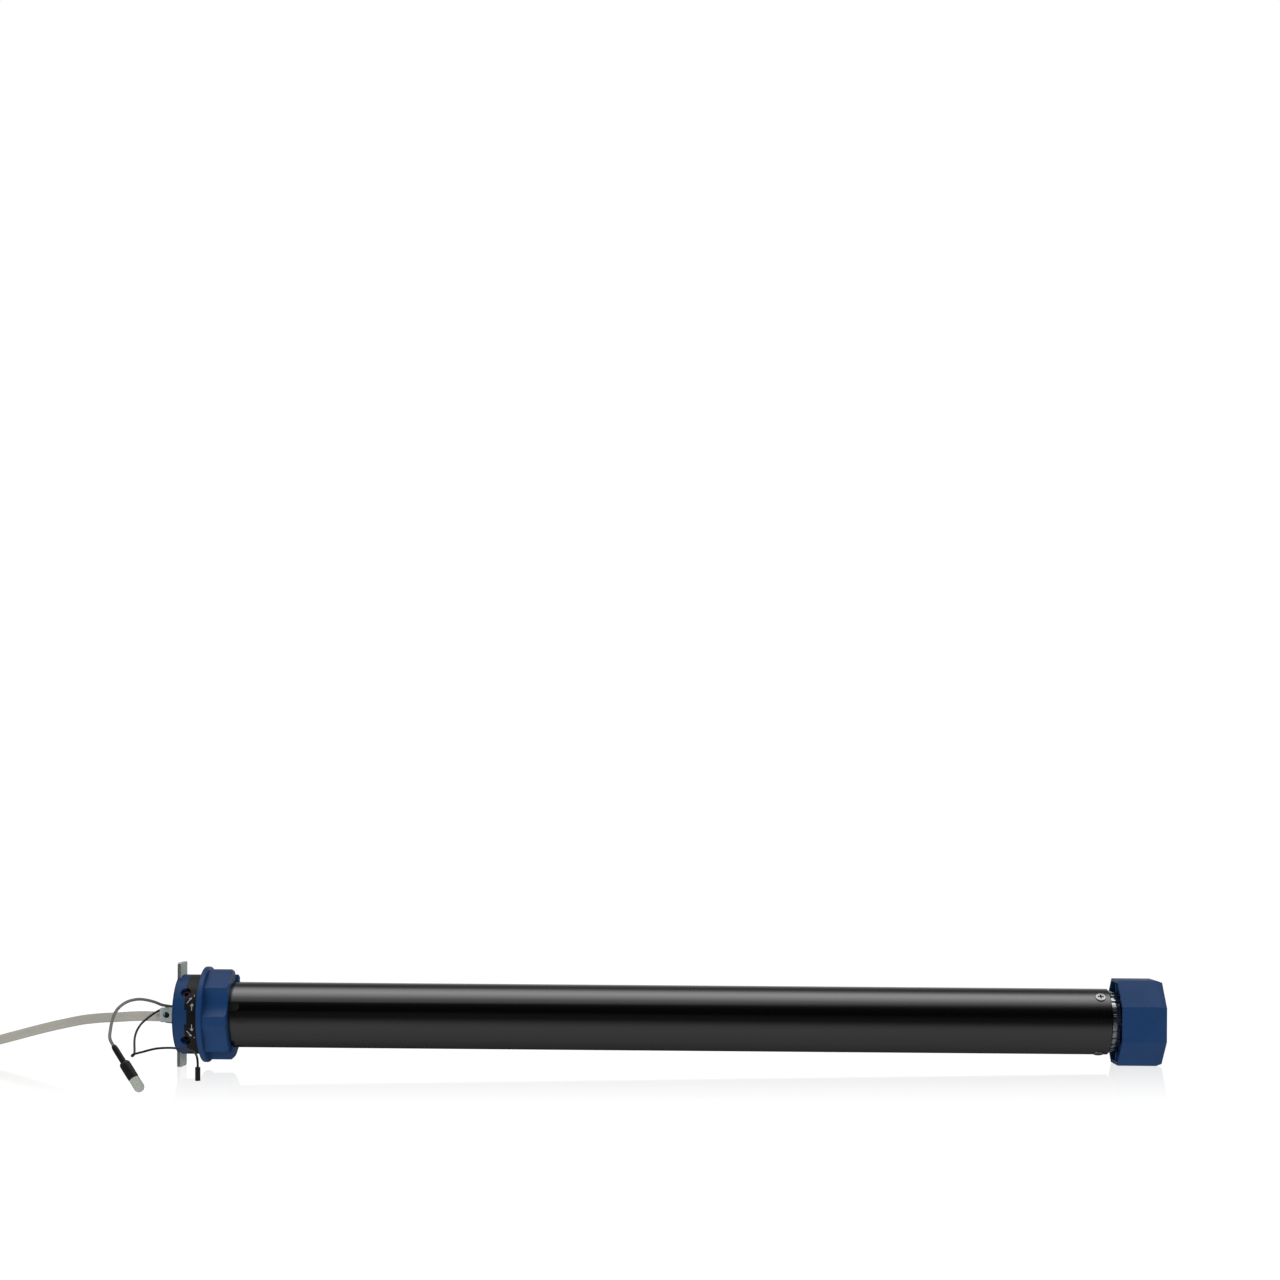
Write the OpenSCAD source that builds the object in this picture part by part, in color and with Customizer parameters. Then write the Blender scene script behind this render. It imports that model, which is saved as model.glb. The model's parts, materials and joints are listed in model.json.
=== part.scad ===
/* [Tube] */
// Outer diameter of the motor tube
tube_d = 45; // [40:0.5:50]
// Wall of the motor tube
tube_wall = 1; // [0.8:0.1:1.5]
// Where the tube starts, from the head's end plane
tube_start = 24; // [23.5:0.1:24.5]
// Where the tube ends, from the head's end plane
tube_end = 636.8; // [632:0.1:660]
// Gap between the tube and what fits inside it
tube_fit = 0.1; // [0.05:0.01:0.15]

// Chamfer at the tube's open end
tube_edge = 0.4; // [0.2:0.1:0.6]

/* [Head] */
// Diameter of the head's cap and ring
head_d = 54.6; // [54:0.1:56]
// Depth of the blue cap
cap_depth = 8.5; // [8:0.1:9]
// Where the black ring ends
ring_end = 17; // [16.5:0.1:17.2]
// End wall of the cap
cap_wall = 5; // [4.6:0.1:5.4]
// Side wall of the cap
cap_side = 2.4; // [2:0.1:2.6]
// Chamfer round the cap's end
cap_chamfer = 0.8; // [0.4:0.1:1.2]
// Height of the tongues that key the cap into the ring
tongue_h = 10; // [8:0.5:12]
// Reach of those tongues
tongue_l = 1.6; // [1.2:0.1:2]
// How far the head's plug reaches into the tube
plug_end = 62; // [58:0.5:66]
// Wall of the plug
plug_wall = 2; // [1.8:0.1:2.2]
// Width of the keys that sit in the tube's slots
key_w = 6.4; // [5:0.1:7]
// Where the keys end
key_end = 44.8; // [43:0.1:47]
// Angle of the first key above the front
key_angle = 19; // [10:1:30]

/* [Mounting plate] */
// Width of the steel plate
plate_w = 20; // [18:0.5:22]
// Length of the steel plate
plate_l = 72; // [66:0.5:76]
// Thickness of the steel plate
plate_t = 2.5; // [2:0.1:3]
// Height of the two ears
ear_h = 10; // [9:0.5:11]
// Reach of the ears in front of the end plane
ear_reach = 12; // [11:0.5:14]
// Diameter of the tapped holes in the ears
ear_hole_d = 4.2; // [3.3:0.1:5]
// Distance of those holes from the end plane
ear_hole_x = 7.5; // [6:0.5:8.5]
// Distance of the plate's screws from the axis
plate_screw_z = 17; // [15:0.5:18]
// Shank diameter of the plate's screws
plate_screw_d = 4; // [3:0.1:4.5]

/* [Adjusters] */
// Angle of the two adjusters from the front
adjuster_angle = 37; // [34:1:42]
// Diameter of the access holes
access_d = 7; // [6:0.1:7.5]
// Diameter of the adjusters
adjuster_d = 5.3; // [5:0.1:5.5]
// Depth of the adjusters below the ring's surface
adjuster_depth = 2.6; // [2:0.1:3]
// Length of the adjusters
adjuster_l = 8; // [6:0.5:9]
// Width of the hexagon socket in each adjuster
hex_w = 3; // [2:0.1:3.5]

/* [Crown] */
// Diameter of the crown's flange
crown_flange_d = 65.8; // [63:0.1:68]
// Thickness of that flange
crown_flange_t = 3.7; // [3.5:0.1:5]
// Corner radius of the octagonal body
crown_corner_r = 31.2; // [29.5:0.1:32]
// Length of the whole crown
crown_l = 20.0; // [20:0.1:23]
// Gap between the crown's bore and the tube
crown_fit = 0.1; // [0.05:0.01:0.1]
// Turn of the crown at rest
crown_turn = 140; // [0:1:180]

/* [Drive wheel] */
// Width across the flats of the drive wheel
wheel_af = 58; // [56:0.5:60]
// Length of the drive wheel
wheel_l = 30.2; // [28:0.1:34]
// Gap between the tube and the drive wheel
wheel_gap = 5.2; // [5:0.1:7]
// Length of the chamfer at the wheel's end
wheel_chamfer_l = 4; // [2:0.5:5]
// Depth of that chamfer
wheel_chamfer_d = 1.4; // [1:0.1:2]
// Outer wall of the drive wheel
wheel_wall = 2.2; // [2:0.1:3]
// Outer diameter of the wheel's hub
wheel_hub_d = 22; // [20:0.5:24]
// Diameter of the output shaft
shaft_d = 12; // [10:0.5:13]
// Width across the flats at the shaft's end
shaft_flat = 10; // [8:0.5:10]

/* [Motor] */
// Where the stator starts
stator_start = 430; // [428:0.5:432]
// Length of the stator
stator_l = 76; // [70:0.5:78]
// Diameter of the rotor
rotor_d = 26.4; // [24:0.1:27]
// Air gap between the rotor and the stator
air_gap = 0.4; // [0.3:0.1:0.6]
// Diameter of the rotor's shaft
rotor_shaft_d = 8; // [7:0.1:9]
// Length of the run capacitor
capacitor_l = 78; // [60:1:90]
// Stroke of the brake's armature
brake_stroke = 0.4; // [0.2:0.1:0.6]

/* [Gears] */
// Module of the planet gears
planet_m = 0.65; // [0.6:0.01:0.66]
// Teeth of the sun gears
sun_z = 12;
// Teeth of the planet gears
planet_z = 21;
// Width of the planet gears
planet_w = 9; // [7:0.5:10]
// Diameter of the planets' pins
planet_pin_d = 4; // [3:0.1:5]
// Thinning of each tooth, for backlash
tooth_play = 0.07; // [0.04:0.01:0.1]
// Running gap of shafts and pins in their holes
run_gap = 0.06; // [0.03:0.01:0.1]

/* [Cords] */
// Diameter of the mains cable
mains_d = 6.8; // [6:0.1:7]
// Diameter of the sensor's lead
sensor_lead_d = 2; // [1.6:0.1:2.4]
// Diameter of the aerial wire
aerial_d = 1.5; // [1.4:0.1:2]
// Diameter of the sensor's thick sleeve
sensor_d = 6.9; // [6:0.1:7]
// Loops in one layer of the mains coil
coil_turns = 2.125; // [1.125:1:3.125]

/* [Hidden] */
$fn = 48;
e = 0.01;

tube_r = tube_d/2;
tube_in = tube_r - tube_wall;
plug_r = tube_in - tube_fit;
plug_in = plug_r - plug_wall;
head_r = head_d/2;
spigot_r = head_r - cap_side - 0.1;
blue = "#1f4a86";
black = "#1b1b1d";
zinc = "#b9bdbf";
steel = "#8d9093";
copper = "#b5703a";

ear_round = 1.2;

// The part lies on the plate's end and the wheel's flat, so its axis leans
wheel_start = tube_end + wheel_gap;
wheel_end = wheel_start + wheel_l;
rest_run = wheel_end - wheel_chamfer_l - plate_t;
lie_angle = atan((plate_l/2 - wheel_af/2)/rest_run);
rest_height = plate_t*sin(lie_angle) + plate_l/2*cos(lie_angle);
right_x = wheel_end*cos(lie_angle) + (wheel_af/2 - wheel_chamfer_d)*sin(lie_angle);
left_x = -ear_reach*cos(lie_angle) - (ear_h/2 - ear_round)*sin(lie_angle);
mid_x = (left_x + right_x)/2;

module laid() {
    translate([-mid_x, 0, rest_height])
        rotate([0, lie_angle, 0])
            children();
}

// A point of the leaning frame, given on the floor and from the head's end plane
function on_floor(p) = [
    p[0]*cos(lie_angle) + p[2]*sin(lie_angle),
    p[1],
    -p[0]*sin(lie_angle) + p[2]*cos(lie_angle) + rest_height];

// A round bar along the axis, from x0 to x1
module bar(x0, x1, r, y = 0, z = 0, r2 = undef) {
    translate([x0, y, z])
        rotate([0, 90, 0])
            cylinder(h = x1 - x0, r1 = r, r2 = is_undef(r2) ? r : r2);
}

// A ring along the axis
module ring(x0, x1, r_out, r_in, y = 0, z = 0) {
    difference() {
        bar(x0, x1, r_out, y, z);
        bar(x0 - 1, x1 + 1, r_in, y, z);
    }
}

// An outline in Y and Z, drawn out along the axis
module along(x0, x1) {
    translate([x0, 0, 0])
        rotate([90, 0, 90])
            linear_extrude(x1 - x0)
                children();
}

// A box from one corner to the other
module block(a, b) {
    translate(a)
        cube(b - a);
}

// Turns its children round the axis, upwards from the front
module at_angle(a) {
    rotate([-a, 0, 0])
        children();
}

// A radial bore or bar from r0 to r1, pointing to the front
module radial(x, r0, r1, r) {
    translate([x, -r0, 0])
        rotate([90, 0, 0])
            cylinder(h = r1 - r0, r = r);
}

// Involute gears with a 25 degree pressure angle and stub teeth
pressure = 25;
addendum = 0.8;
dedendum = 1.05;

function inv_deg(r, rb) = sqrt(max((r/rb)*(r/rb) - 1, 0))*180/PI - acos(min(rb/r, 1));

function half_tooth(r, rp, z, play) =
    let(rb = rp*cos(pressure))
    90/z - play/(2*rp)*180/PI + inv_deg(rp, rb) - inv_deg(max(r, rb), rb);

function gear_outline(z, m, play, add, ded) =
    let(rp = z*m/2, rb = rp*cos(pressure), rr = rp - ded*m, rt = rp + add*m,
        r0 = max(rr, rb), radii = [rr, r0, r0 + (rt - r0)/3, r0 + (rt - r0)*2/3, rt],
        used = r0 > rr + e ? radii : [rr, radii[2], radii[3], rt])
    [for (k = [0 : z - 1])
        for (side = [-1, 1])
            for (i = [0 : len(used) - 1])
                let(r = side < 0 ? used[i] : used[len(used) - 1 - i],
                    a = 360*k/z + side*half_tooth(r, rp, z, play))
                [r*cos(a), r*sin(a)]];

module gear(z, m, turn = 0) {
    rotate(turn)
        polygon(gear_outline(z, m, tooth_play, addendum, dedendum));
}

// The space inside a ring gear, as a gear that is a little fuller
module ring_space(z, m) {
    polygon(gear_outline(z, m, -tooth_play, dedendum, addendum));
}

module ring_gear(x0, x1, r_out, z, m) {
    difference() {
        bar(x0, x1, r_out);
        along(x0 - 1, x1 + 1)
            ring_space(z, m);
    }
}

// Cable and leads, in the head
cable_z = -1.8;
gland_r = 6;
gland_back = 14;
gland_nose = 10;
gland_nose_r = 4.4;
lead_z = 4.6;
lead_y = 1.7;
lead_boss_r = 3.9;
lead_run = 3;
web_start = 14;

module keyhole(grow = 0) {
    translate([0, cable_z])
        circle(r = gland_r + grow);
    translate([0, lead_z])
        circle(r = lead_boss_r + grow);
}

gland_gap = 0.1;
gland_start = plate_t + 0.5;

module cable_gland() {
    color("#2a2a2c")
    laid() {
        along(gland_start, gland_back)
            keyhole();
        bar(-gland_nose, gland_start + e, gland_nose_r, 0, cable_z, gland_r - 0.4);
    }
}

// Mounting plate and its screws
plate_round = 2;
ear_bend_r = 3.2;
slot_fit = 0.15;
countersink_r = 3.9;
countersink_d = 2.2;
countersink_slope = (countersink_r - plate_screw_d/2)/countersink_d;
screw_sink = 0.2;
cross_l = 3.6;
cross_w = 0.8;
cross_d = 1.4;

module rounded_rect(w, h, r) {
    square([w - 2*r, h], center = true);
    square([w, h - 2*r], center = true);
    for (sx = [-1, 1], sy = [-1, 1])
        translate([sx*(w/2 - r), sy*(h/2 - r)])
            circle(r = r);
}

// Half of the bent strip that holds the ears, seen along Z
module ear_strip() {
    difference() {
        union() {
            translate([-ear_reach, plate_w/2 - plate_t])
                square([ear_reach + plate_t - ear_bend_r, plate_t]);
            translate([0, plate_w/2 - ear_bend_r - 1])
                square([plate_t, 1]);
            translate([plate_t - ear_bend_r, plate_w/2 - ear_bend_r])
                circle(r = ear_bend_r);
        }
        translate([plate_t - ear_bend_r, plate_w/2 - ear_bend_r])
            circle(r = ear_bend_r - plate_t);
        translate([-ear_reach - 1, -1])
            square([ear_reach + 1, plate_w/2 - plate_t + 1]);
    }
}

module mounting_plate() {
    relief = 1.2;
    color(zinc)
    laid()
    difference() {
        union() {
            difference() {
                along(0, plate_t)
                    rounded_rect(plate_w, plate_l, plate_round);
                for (s = [-1, 1])
                    block([-1, s > 0 ? plate_w/2 - ear_bend_r : -plate_w/2 - 1, -ear_h/2 - relief],
                          [plate_t + 1, s > 0 ? plate_w/2 + 1 : -plate_w/2 + ear_bend_r, ear_h/2 + relief]);
            }
            intersection() {
                union() {
                    for (s = [0, 1])
                        mirror([0, s, 0])
                            translate([0, 0, -ear_h/2])
                                linear_extrude(ear_h)
                                    ear_strip();
                }
                rotate([90, 0, 0])
                    translate([plate_t/2 - ear_reach/2, 0, -plate_w])
                        linear_extrude(2*plate_w)
                            rounded_rect(ear_reach + plate_t, ear_h, ear_round);
            }
            for (s = [-1, 1])
                block([0, s > 0 ? plate_w/2 - ear_bend_r - 2 : -plate_w/2 + ear_bend_r, -ear_h/2],
                      [plate_t, s > 0 ? plate_w/2 - ear_bend_r : -plate_w/2 + ear_bend_r + 2, ear_h/2]);
        }
        along(-1, plate_t + 1)
            keyhole(0.5);
        translate([-ear_hole_x, plate_w, 0])
            rotate([90, 0, 0])
                cylinder(h = 2*plate_w, r = ear_hole_d/2);
        for (s = [-1, 1]) {
            bar(-1, plate_t + 1, plate_screw_d/2 + 0.3, 0, s*plate_screw_z);
            bar(-e, countersink_d, countersink_r, 0, s*plate_screw_z, plate_screw_d/2);
        }
    }
}

plate_screw_end = 13;

module plate_screws() {
    color(steel)
    laid()
    for (s = [-1, 1])
        difference() {
            union() {
                bar(screw_sink, countersink_d - e, countersink_r - (2*screw_sink)*countersink_slope,
                    0, s*plate_screw_z, plate_screw_d/2 - screw_sink*countersink_slope + e);
                bar(countersink_d - screw_sink, plate_screw_end, plate_screw_d/2, 0, s*plate_screw_z);
            }
            along(-1, cross_d)
                translate([0, s*plate_screw_z])
                    cross(cross_l, cross_w);
        }
}

module cross(l, w) {
    square([l, w], center = true);
    square([w, l], center = true);
}

// Head cap and head body
module tongue(x0, x1, r_in, grow = 0) {
    for (s = [-1, 1])
        block([x0, s > 0 ? r_in : -head_r - 1, -tongue_h/2 - grow],
              [x1, s > 0 ? head_r + 1 : -r_in, tongue_h/2 + grow]);
}

module access_bores(r0) {
    for (s = [-1, 1])
        at_angle(s*adjuster_angle)
            radial(cap_depth, r0, head_r + 1, access_d/2);
}

module head_cap() {
    color(blue)
    laid()
    difference() {
        union() {
            bar(0, cap_chamfer, head_r - cap_chamfer, r2 = head_r);
            bar(cap_chamfer - e, cap_depth, head_r);
            intersection() {
                bar(cap_depth - e, cap_depth + tongue_l, head_r);
                tongue(cap_depth - e, cap_depth + tongue_l, head_r - cap_side);
            }
        }
        bar(cap_wall, cap_depth + 5, head_r - cap_side);
        block([-1, -plate_w/2 - slot_fit, -head_r - 1], [plate_t, plate_w/2 + slot_fit, head_r + 1]);
        along(-1, cap_wall + 1)
            keyhole(0.5);
        for (s = [-1, 1])
            bar(-1, cap_wall + 1, plate_screw_d/2 + 0.3, 0, s*plate_screw_z);
        access_bores(head_r - cap_side - 2);
    }
}

// Train from the crown to the two limit cams, all in the plug
crown_m = 0.8;
crown_z = 60;
idler_z = 30;
small_z = 10;
drive_z = 50;
cam_z = 30;
cam_m = 0.5;
idler_y = (crown_z - idler_z)*crown_m/2;
drive_y = idler_y - (small_z + drive_z)*cam_m/2;
cam_off = (small_z + cam_z)*cam_m/2;
idler_w = 3;
train_x = ring_end + 0.8;
spindle_r = 1.5;
spindle_start = ring_end - 2.5;
spindle_end = 42.5;
drive_x = 24;
drive_w = 3;
cam_x = 29;
cam_w = 3;
lobe_w = 4;
cam_pinion_end = cam_x + cam_w - 0.3;
cam_pin_start = drive_x + drive_w + 1;
frame_x = 39.5;
frame_t = 3;
spigot_start = cap_wall;

module gear_spindles(x0, x1, r) {
    for (y = [idler_y, drive_y])
        bar(x0, x1, r, y, 0);
}

module cam_spindles(x0, x1, r) {
    for (s = [-1, 1])
        bar(x0, x1, r, drive_y, s*cam_off);
}

window_r = idler_z*crown_m/2 + addendum*crown_m + 0.6;

module head_body() {
    color(black)
    laid()
    difference() {
        union() {
            bar(spigot_start, cap_depth + e, spigot_r);
            bar(cap_depth, ring_end, head_r);
            bar(ring_end - e, tube_start, tube_r);
            bar(tube_start - e, plug_end, plug_r);
            for (k = [0 : 3])
                at_angle(key_angle + 90*k)
                    key_bar(plug_r - 1, tube_r - 0.3, key_w);
        }
        bar(ring_end, plug_end + 1, plug_in);
        bar(train_x - 0.4, train_x + idler_w + 0.4, window_r, idler_y, 0);
        intersection() {
            bar(cap_depth - e, cap_depth + tongue_l + 0.1, head_r + 1);
            tongue(cap_depth - 1, cap_depth + tongue_l + 0.1, head_r - cap_side - 0.1, 0.1);
        }
        along(spigot_start - 1, web_start)
            keyhole(gland_gap);
        for (s = [-1, 1]) {
            bar(spigot_start - 1, plate_screw_end + 1, plate_screw_d/2, 0, s*plate_screw_z);
            at_angle(s*adjuster_angle)
                radial(cap_depth, adjuster_in, head_r, adjuster_d/2 + run_gap);
            at_angle(s*adjuster_angle)
                radial(cap_depth, head_r - adjuster_depth, head_r + 1, access_d/2);
        }
        gear_spindles(spindle_start, ring_end + 1, spindle_r + run_gap);
    }
}

adjuster_in = head_r - adjuster_depth - adjuster_l;

// A key with a round end, lying on the plug and pointing to the front
module key_bar(r0, r1, w) {
    translate([0, -r0, 0])
        rotate([90, 0, 0])
            linear_extrude(r1 - r0) {
                translate([tube_start, -w/2])
                    square([key_end - w/2 - tube_start, w]);
                translate([key_end - w/2, 0])
                    circle(r = w/2);
            }
}

module adjuster(s, tint) {
    color(tint)
    laid()
    at_angle(s*adjuster_angle)
        difference() {
            radial(cap_depth, adjuster_in + 0.2, head_r - adjuster_depth, adjuster_d/2);
            translate([cap_depth, -(head_r - adjuster_depth - 2.5), 0])
                rotate([90, 0, 0])
                    cylinder(h = 4, d = hex_w/cos(30), $fn = 6);
        }
}

module up_adjuster() {
    adjuster(1, "#4a2746");
}

module down_adjuster() {
    adjuster(-1, "#20242c");
}

// Limit switches, cams and gears
module limit_frame() {
    color("#d8d6cc")
    laid()
    difference() {
        bar(frame_x, frame_x + frame_t, plug_in - 0.05);
        gear_spindles(frame_x - 1, frame_x + frame_t + 1, spindle_r + run_gap);
        cam_spindles(frame_x - 1, frame_x + frame_t + 1, spindle_r + run_gap);
        for (y = [-1, 1])
            bar(frame_x - 1, frame_x + frame_t + 1, 2.5, 14*y, -10);
    }
}

module idler_gear() {
    color("#d9d4c3")
    laid()
    translate([0, idler_y, 0]) {
        along(train_x, train_x + idler_w)
            gear(idler_z, crown_m);
        along(train_x + idler_w - e, drive_x + drive_w)
            gear(small_z, cam_m, 180/small_z);
        bar(spindle_start + 0.2, spindle_end - 0.3, spindle_r);
    }
}

module cam_drive_gear() {
    color("#e2ddcd")
    laid()
    translate([0, drive_y, 0]) {
        along(drive_x, drive_x + drive_w)
            gear(drive_z, cam_m);
        along(drive_x + drive_w - e, cam_pinion_end)
            gear(small_z, cam_m);
        bar(spindle_start + 0.2, spindle_end - 0.3, spindle_r);
    }
}

lobe_r = 6.2;
lobe_rise = 1.2;

module cam(s, tint) {
    color(tint)
    laid()
    translate([0, drive_y, s*cam_off]) {
        along(cam_x, cam_x + cam_w)
            gear(cam_z, cam_m, 180/cam_z);
        along(cam_x + cam_w - e, cam_x + cam_w + lobe_w) {
            circle(r = lobe_r);
            rotate(200)
                translate([lobe_r + lobe_rise - 1.5, 0])
                    circle(r = 1.5);
        }
        bar(cam_pin_start, spindle_end - 0.3, spindle_r);
    }
}

module up_cam() {
    cam(1, "#c8443c");
}

module down_cam() {
    cam(-1, "#3d8a4e");
}

switch_x = cam_x + cam_w + 0.3;
switch_z = 6.2;
switch_w = 5.6;
switch_h = 8;
cheek_t = 1;
lever_t = 0.5;
lever_gap = 0.25;
lever_travel = 0.65;
lever_pin_r = 0.6;
lever_y = drive_y + lobe_r + lobe_rise + lever_gap;
switch_y = lever_y + lever_t + lever_travel;
lever_pin_y = switch_y + 0.9;
lever_pin_z = switch_z + switch_h - 1.3;

module limit_switch(s) {
    color("#23262b")
    laid()
    mirror([0, 0, s < 0 ? 1 : 0])
        difference() {
            block([switch_x, switch_y, switch_z], [frame_x, switch_y + switch_w, switch_z + switch_h]);
            block([switch_x + cheek_t, switch_y - 1, lever_pin_z - 1.2],
                  [frame_x - cheek_t, lever_pin_y + 1.2, switch_z + switch_h + 1]);
            bar(switch_x - 1, frame_x + 1, lever_pin_r + run_gap, lever_pin_y, lever_pin_z);
        }
}

module up_switch() {
    limit_switch(1);
}

module down_switch() {
    limit_switch(-1);
}

module switch_lever(s) {
    color(zinc)
    laid()
    mirror([0, 0, s < 0 ? 1 : 0]) {
        block([switch_x + cheek_t + 0.3, lever_y, switch_z - 1.5],
              [frame_x - cheek_t - 0.3, lever_y + lever_t, lever_pin_z + lever_t/2]);
        block([switch_x + cheek_t + 0.3, lever_y, lever_pin_z - lever_t/2],
              [frame_x - cheek_t - 0.3, lever_pin_y, lever_pin_z + lever_t/2]);
        bar(switch_x + 0.2, frame_x - 0.2, lever_pin_r, lever_pin_y, lever_pin_z);
    }
}

module up_lever() {
    switch_lever(1);
}

module down_lever() {
    switch_lever(-1);
}

// Control board and capacitor
board_x = 72;
board_l = 96;
board_w = 37.2;
board_z = -9;
board_t = 1.6;
terminal_size = [10, 28, 8];
relay_size = [18, 13, 14];
relay_pitch = 22;
chip_size = [28, 7, 3];
filter_size = [14, 6, 6];
reservoir_l = 22;
reservoir_r = 8;

// A component that stands on the board, its corner given from the board's corner on the axis
module on_board(p, size) {
    translate([board_x + p[0], p[1], board_z - e])
        cube(size + [0, 0, e]);
}

module control_board() {
    color("#1e5b3a")
    laid() {
        block([board_x, -board_w/2, board_z - board_t], [board_x + board_l, board_w/2, board_z]);
        on_board([2, -terminal_size[1]/2], terminal_size);
        for (k = [0 : 1])
            on_board([18 + relay_pitch*k, -11], relay_size);
        bar(board_x + 62, board_x + 62 + reservoir_l, reservoir_r, 3, board_z + reservoir_r - 0.2);
        on_board([20, 6], chip_size);
        on_board([66, -14], filter_size);
    }
}

capacitor_x = 190;
seat_gap = 0.3;

module capacitor() {
    color("#c9ccce")
    laid() {
        bar(capacitor_x, capacitor_x + capacitor_l, tube_in - seat_gap);
        for (s = [-1, 1])
            block([capacitor_x - 9, 6*s - 3.2, -0.4], [capacitor_x + e, 6*s + 3.2, 0.4]);
    }
}

module motor_tube() {
    color("#161617")
    laid()
    difference() {
        union() {
            bar(tube_start, tube_end - tube_edge, tube_r, $fn = 96);
            bar(tube_end - tube_edge, tube_end, tube_r, r2 = tube_r - tube_edge, $fn = 96);
        }
        bar(tube_start - 1, tube_end + 1, tube_in, $fn = 96);
        for (k = [0 : 3])
            at_angle(key_angle + 90*k)
                slot_cut();
        for (k = [0 : 2])
            at_angle(screw_angle + 120*k)
                radial(screw_x, tube_in - 2, tube_r + 1, screw_shank_r + 0.2);
    }
}

module slot_cut() {
    translate([0, -tube_in + 2, 0])
        rotate([90, 0, 0])
            linear_extrude(6) {
                translate([tube_start - 1, -key_w/2 - tube_fit])
                    square([key_end - key_w/2 - tube_start + 1, key_w + 2*tube_fit]);
                translate([key_end - key_w/2, 0])
                    circle(r = key_w/2 + tube_fit);
            }
}

// Motor, brake and shields
shield_t = 7;
bearing_r = 11;
bearing_w = 7;
winding_l = 9;
rear_shield_x = stator_start - winding_l - 2 - shield_t;
front_shield_x = stator_start + stator_l + winding_l + 2;
stator_end = stator_start + stator_l;
stator_in = rotor_d/2 + air_gap;
slot_n = 12;
slot_w = 3.6;
slot_out = 18.2;
shaft_r = rotor_shaft_d/2;
disc_x = rear_shield_x - 9;
disc_t = 4;
armature_t = 3.5;
disc_gap = 0.1;
armature_x = disc_x - disc_gap - armature_t;
coil_end = armature_x - brake_stroke - 0.2;
coil_l = 22;
coil_x = coil_end - coil_l;
coil_pole_r = 9;
coil_groove_r = 14;
guide_r = 1.2;
guide_off = 16.4;
spring_r = 3.4;
shaft_back = disc_x;

module slots(r0, r1, w) {
    for (k = [0 : slot_n - 1])
        rotate(360*k/slot_n)
            translate([r0, -w/2])
                square([r1 - r0, w]);
}

module stator_core() {
    color("#5d6063")
    laid()
    difference() {
        bar(stator_start, stator_end, plug_r, $fn = 96);
        bar(stator_start - 1, stator_end + 1, stator_in);
        along(stator_start - 1, stator_end + 1)
            slots(stator_in - 1, slot_out, slot_w);
    }
}

module stator_windings() {
    wire_gap = 0.2;
    color(copper)
    laid() {
        along(stator_start - e, stator_end + e)
            slots(stator_in + 0.6, slot_out - wire_gap, slot_w - 2*wire_gap);
        for (x = [stator_start - winding_l, stator_end])
            difference() {
                bar(x, x + winding_l, slot_out + 1.4);
                bar(x - 1, x + winding_l + 1, stator_in + 0.6);
            }
    }
}

module rotor_core() {
    end_ring = 3;
    color("#7a7d80")
    laid()
    difference() {
        union() {
            bar(stator_start - 1, stator_end + 1, rotor_d/2);
            for (x = [stator_start - 1 - end_ring, stator_end + 1])
                bar(x, x + end_ring, rotor_d/2 - 1.2);
        }
        bar(stator_start - 10, stator_end + 10, shaft_r);
    }
}

module rotor_shaft() {
    color(steel)
    laid() {
        bar(shaft_back, gear_x + 0.5, shaft_r);
        along(gear_x + 0.5 - e, stage_x(0) + planet_w)
            gear(sun_z, planet_m);
    }
}

module ball_bearing(x) {
    color("#a9adb0")
    laid()
    difference() {
        bar(x, x + bearing_w, bearing_r);
        bar(x - 1, x + bearing_w + 1, shaft_r + run_gap);
        for (s = [-e, bearing_w - 0.6])
            ring(x + s, x + s + 0.6 + e, bearing_r - 1.8, shaft_r + 1.8);
    }
}

module rear_bearing() {
    ball_bearing(rear_shield_x);
}

module front_bearing() {
    ball_bearing(front_shield_x);
}

module shield(x) {
    color("#a3a7aa")
    laid()
    difference() {
        bar(x, x + shield_t, plug_r);
        bar(x - 1, x + shield_t + 1, bearing_r);
        for (k = [0 : 3])
            rotate([90*k + 45, 0, 0])
                bar(x - 1, x + shield_t + 1, 2, 16.5, 0);
    }
}

module rear_shield() {
    shield(rear_shield_x);
}

module front_shield() {
    shield(front_shield_x);
}

module brake_disc() {
    color("#6a5a48")
    laid()
    difference() {
        bar(disc_x, disc_x + disc_t, 17);
        bar(disc_x - 1, disc_x + disc_t + 1, shaft_r);
    }
}

module guides(x0, x1, r) {
    for (k = [0 : 2])
        rotate([120*k + 90, 0, 0])
            bar(x0, x1, r, guide_off, 0);
}

module brake_armature() {
    color(steel)
    laid()
    difference() {
        bar(armature_x, armature_x + armature_t, 18.4);
        guides(armature_x - 1, armature_x + armature_t + 1, guide_r + run_gap);
    }
}

module brake_coil() {
    color("#8b6a3e")
    laid()
    {
        difference() {
            bar(coil_x, coil_end, tube_in - seat_gap);
            ring(coil_end - 3, coil_end + 1, coil_groove_r, coil_pole_r);
            bar(coil_end - spring_seat, coil_end + 1, spring_r + 1.4);
        }
        guides(coil_end - 1, armature_x + armature_t - 0.6, guide_r);
    }
}

spring_seat = 12;
spring_wire = 0.9;
spring_coils = 6;
spring_l = armature_x - coil_end + spring_seat;

// One unbroken helix; its first and last half turns lie flat on their seats
function spring_point(t) =
    let(rise = min(max((t - 0.5)/(spring_coils - 1), 0), 1))
    [spring_wire*0.52 + (spring_l - spring_wire*1.04)*rise,
     spring_r*cos(360*t), spring_r*sin(360*t)];

module brake_spring() {
    rings = spring_coils*8;
    color("#c4c7ca")
    laid()
        translate([coil_end - spring_seat, 0, 0])
            sweep([for (i = [0 : rings]) spring_point(i/8)], spring_wire/2, 6, [1, 0, 0]);
}

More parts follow.
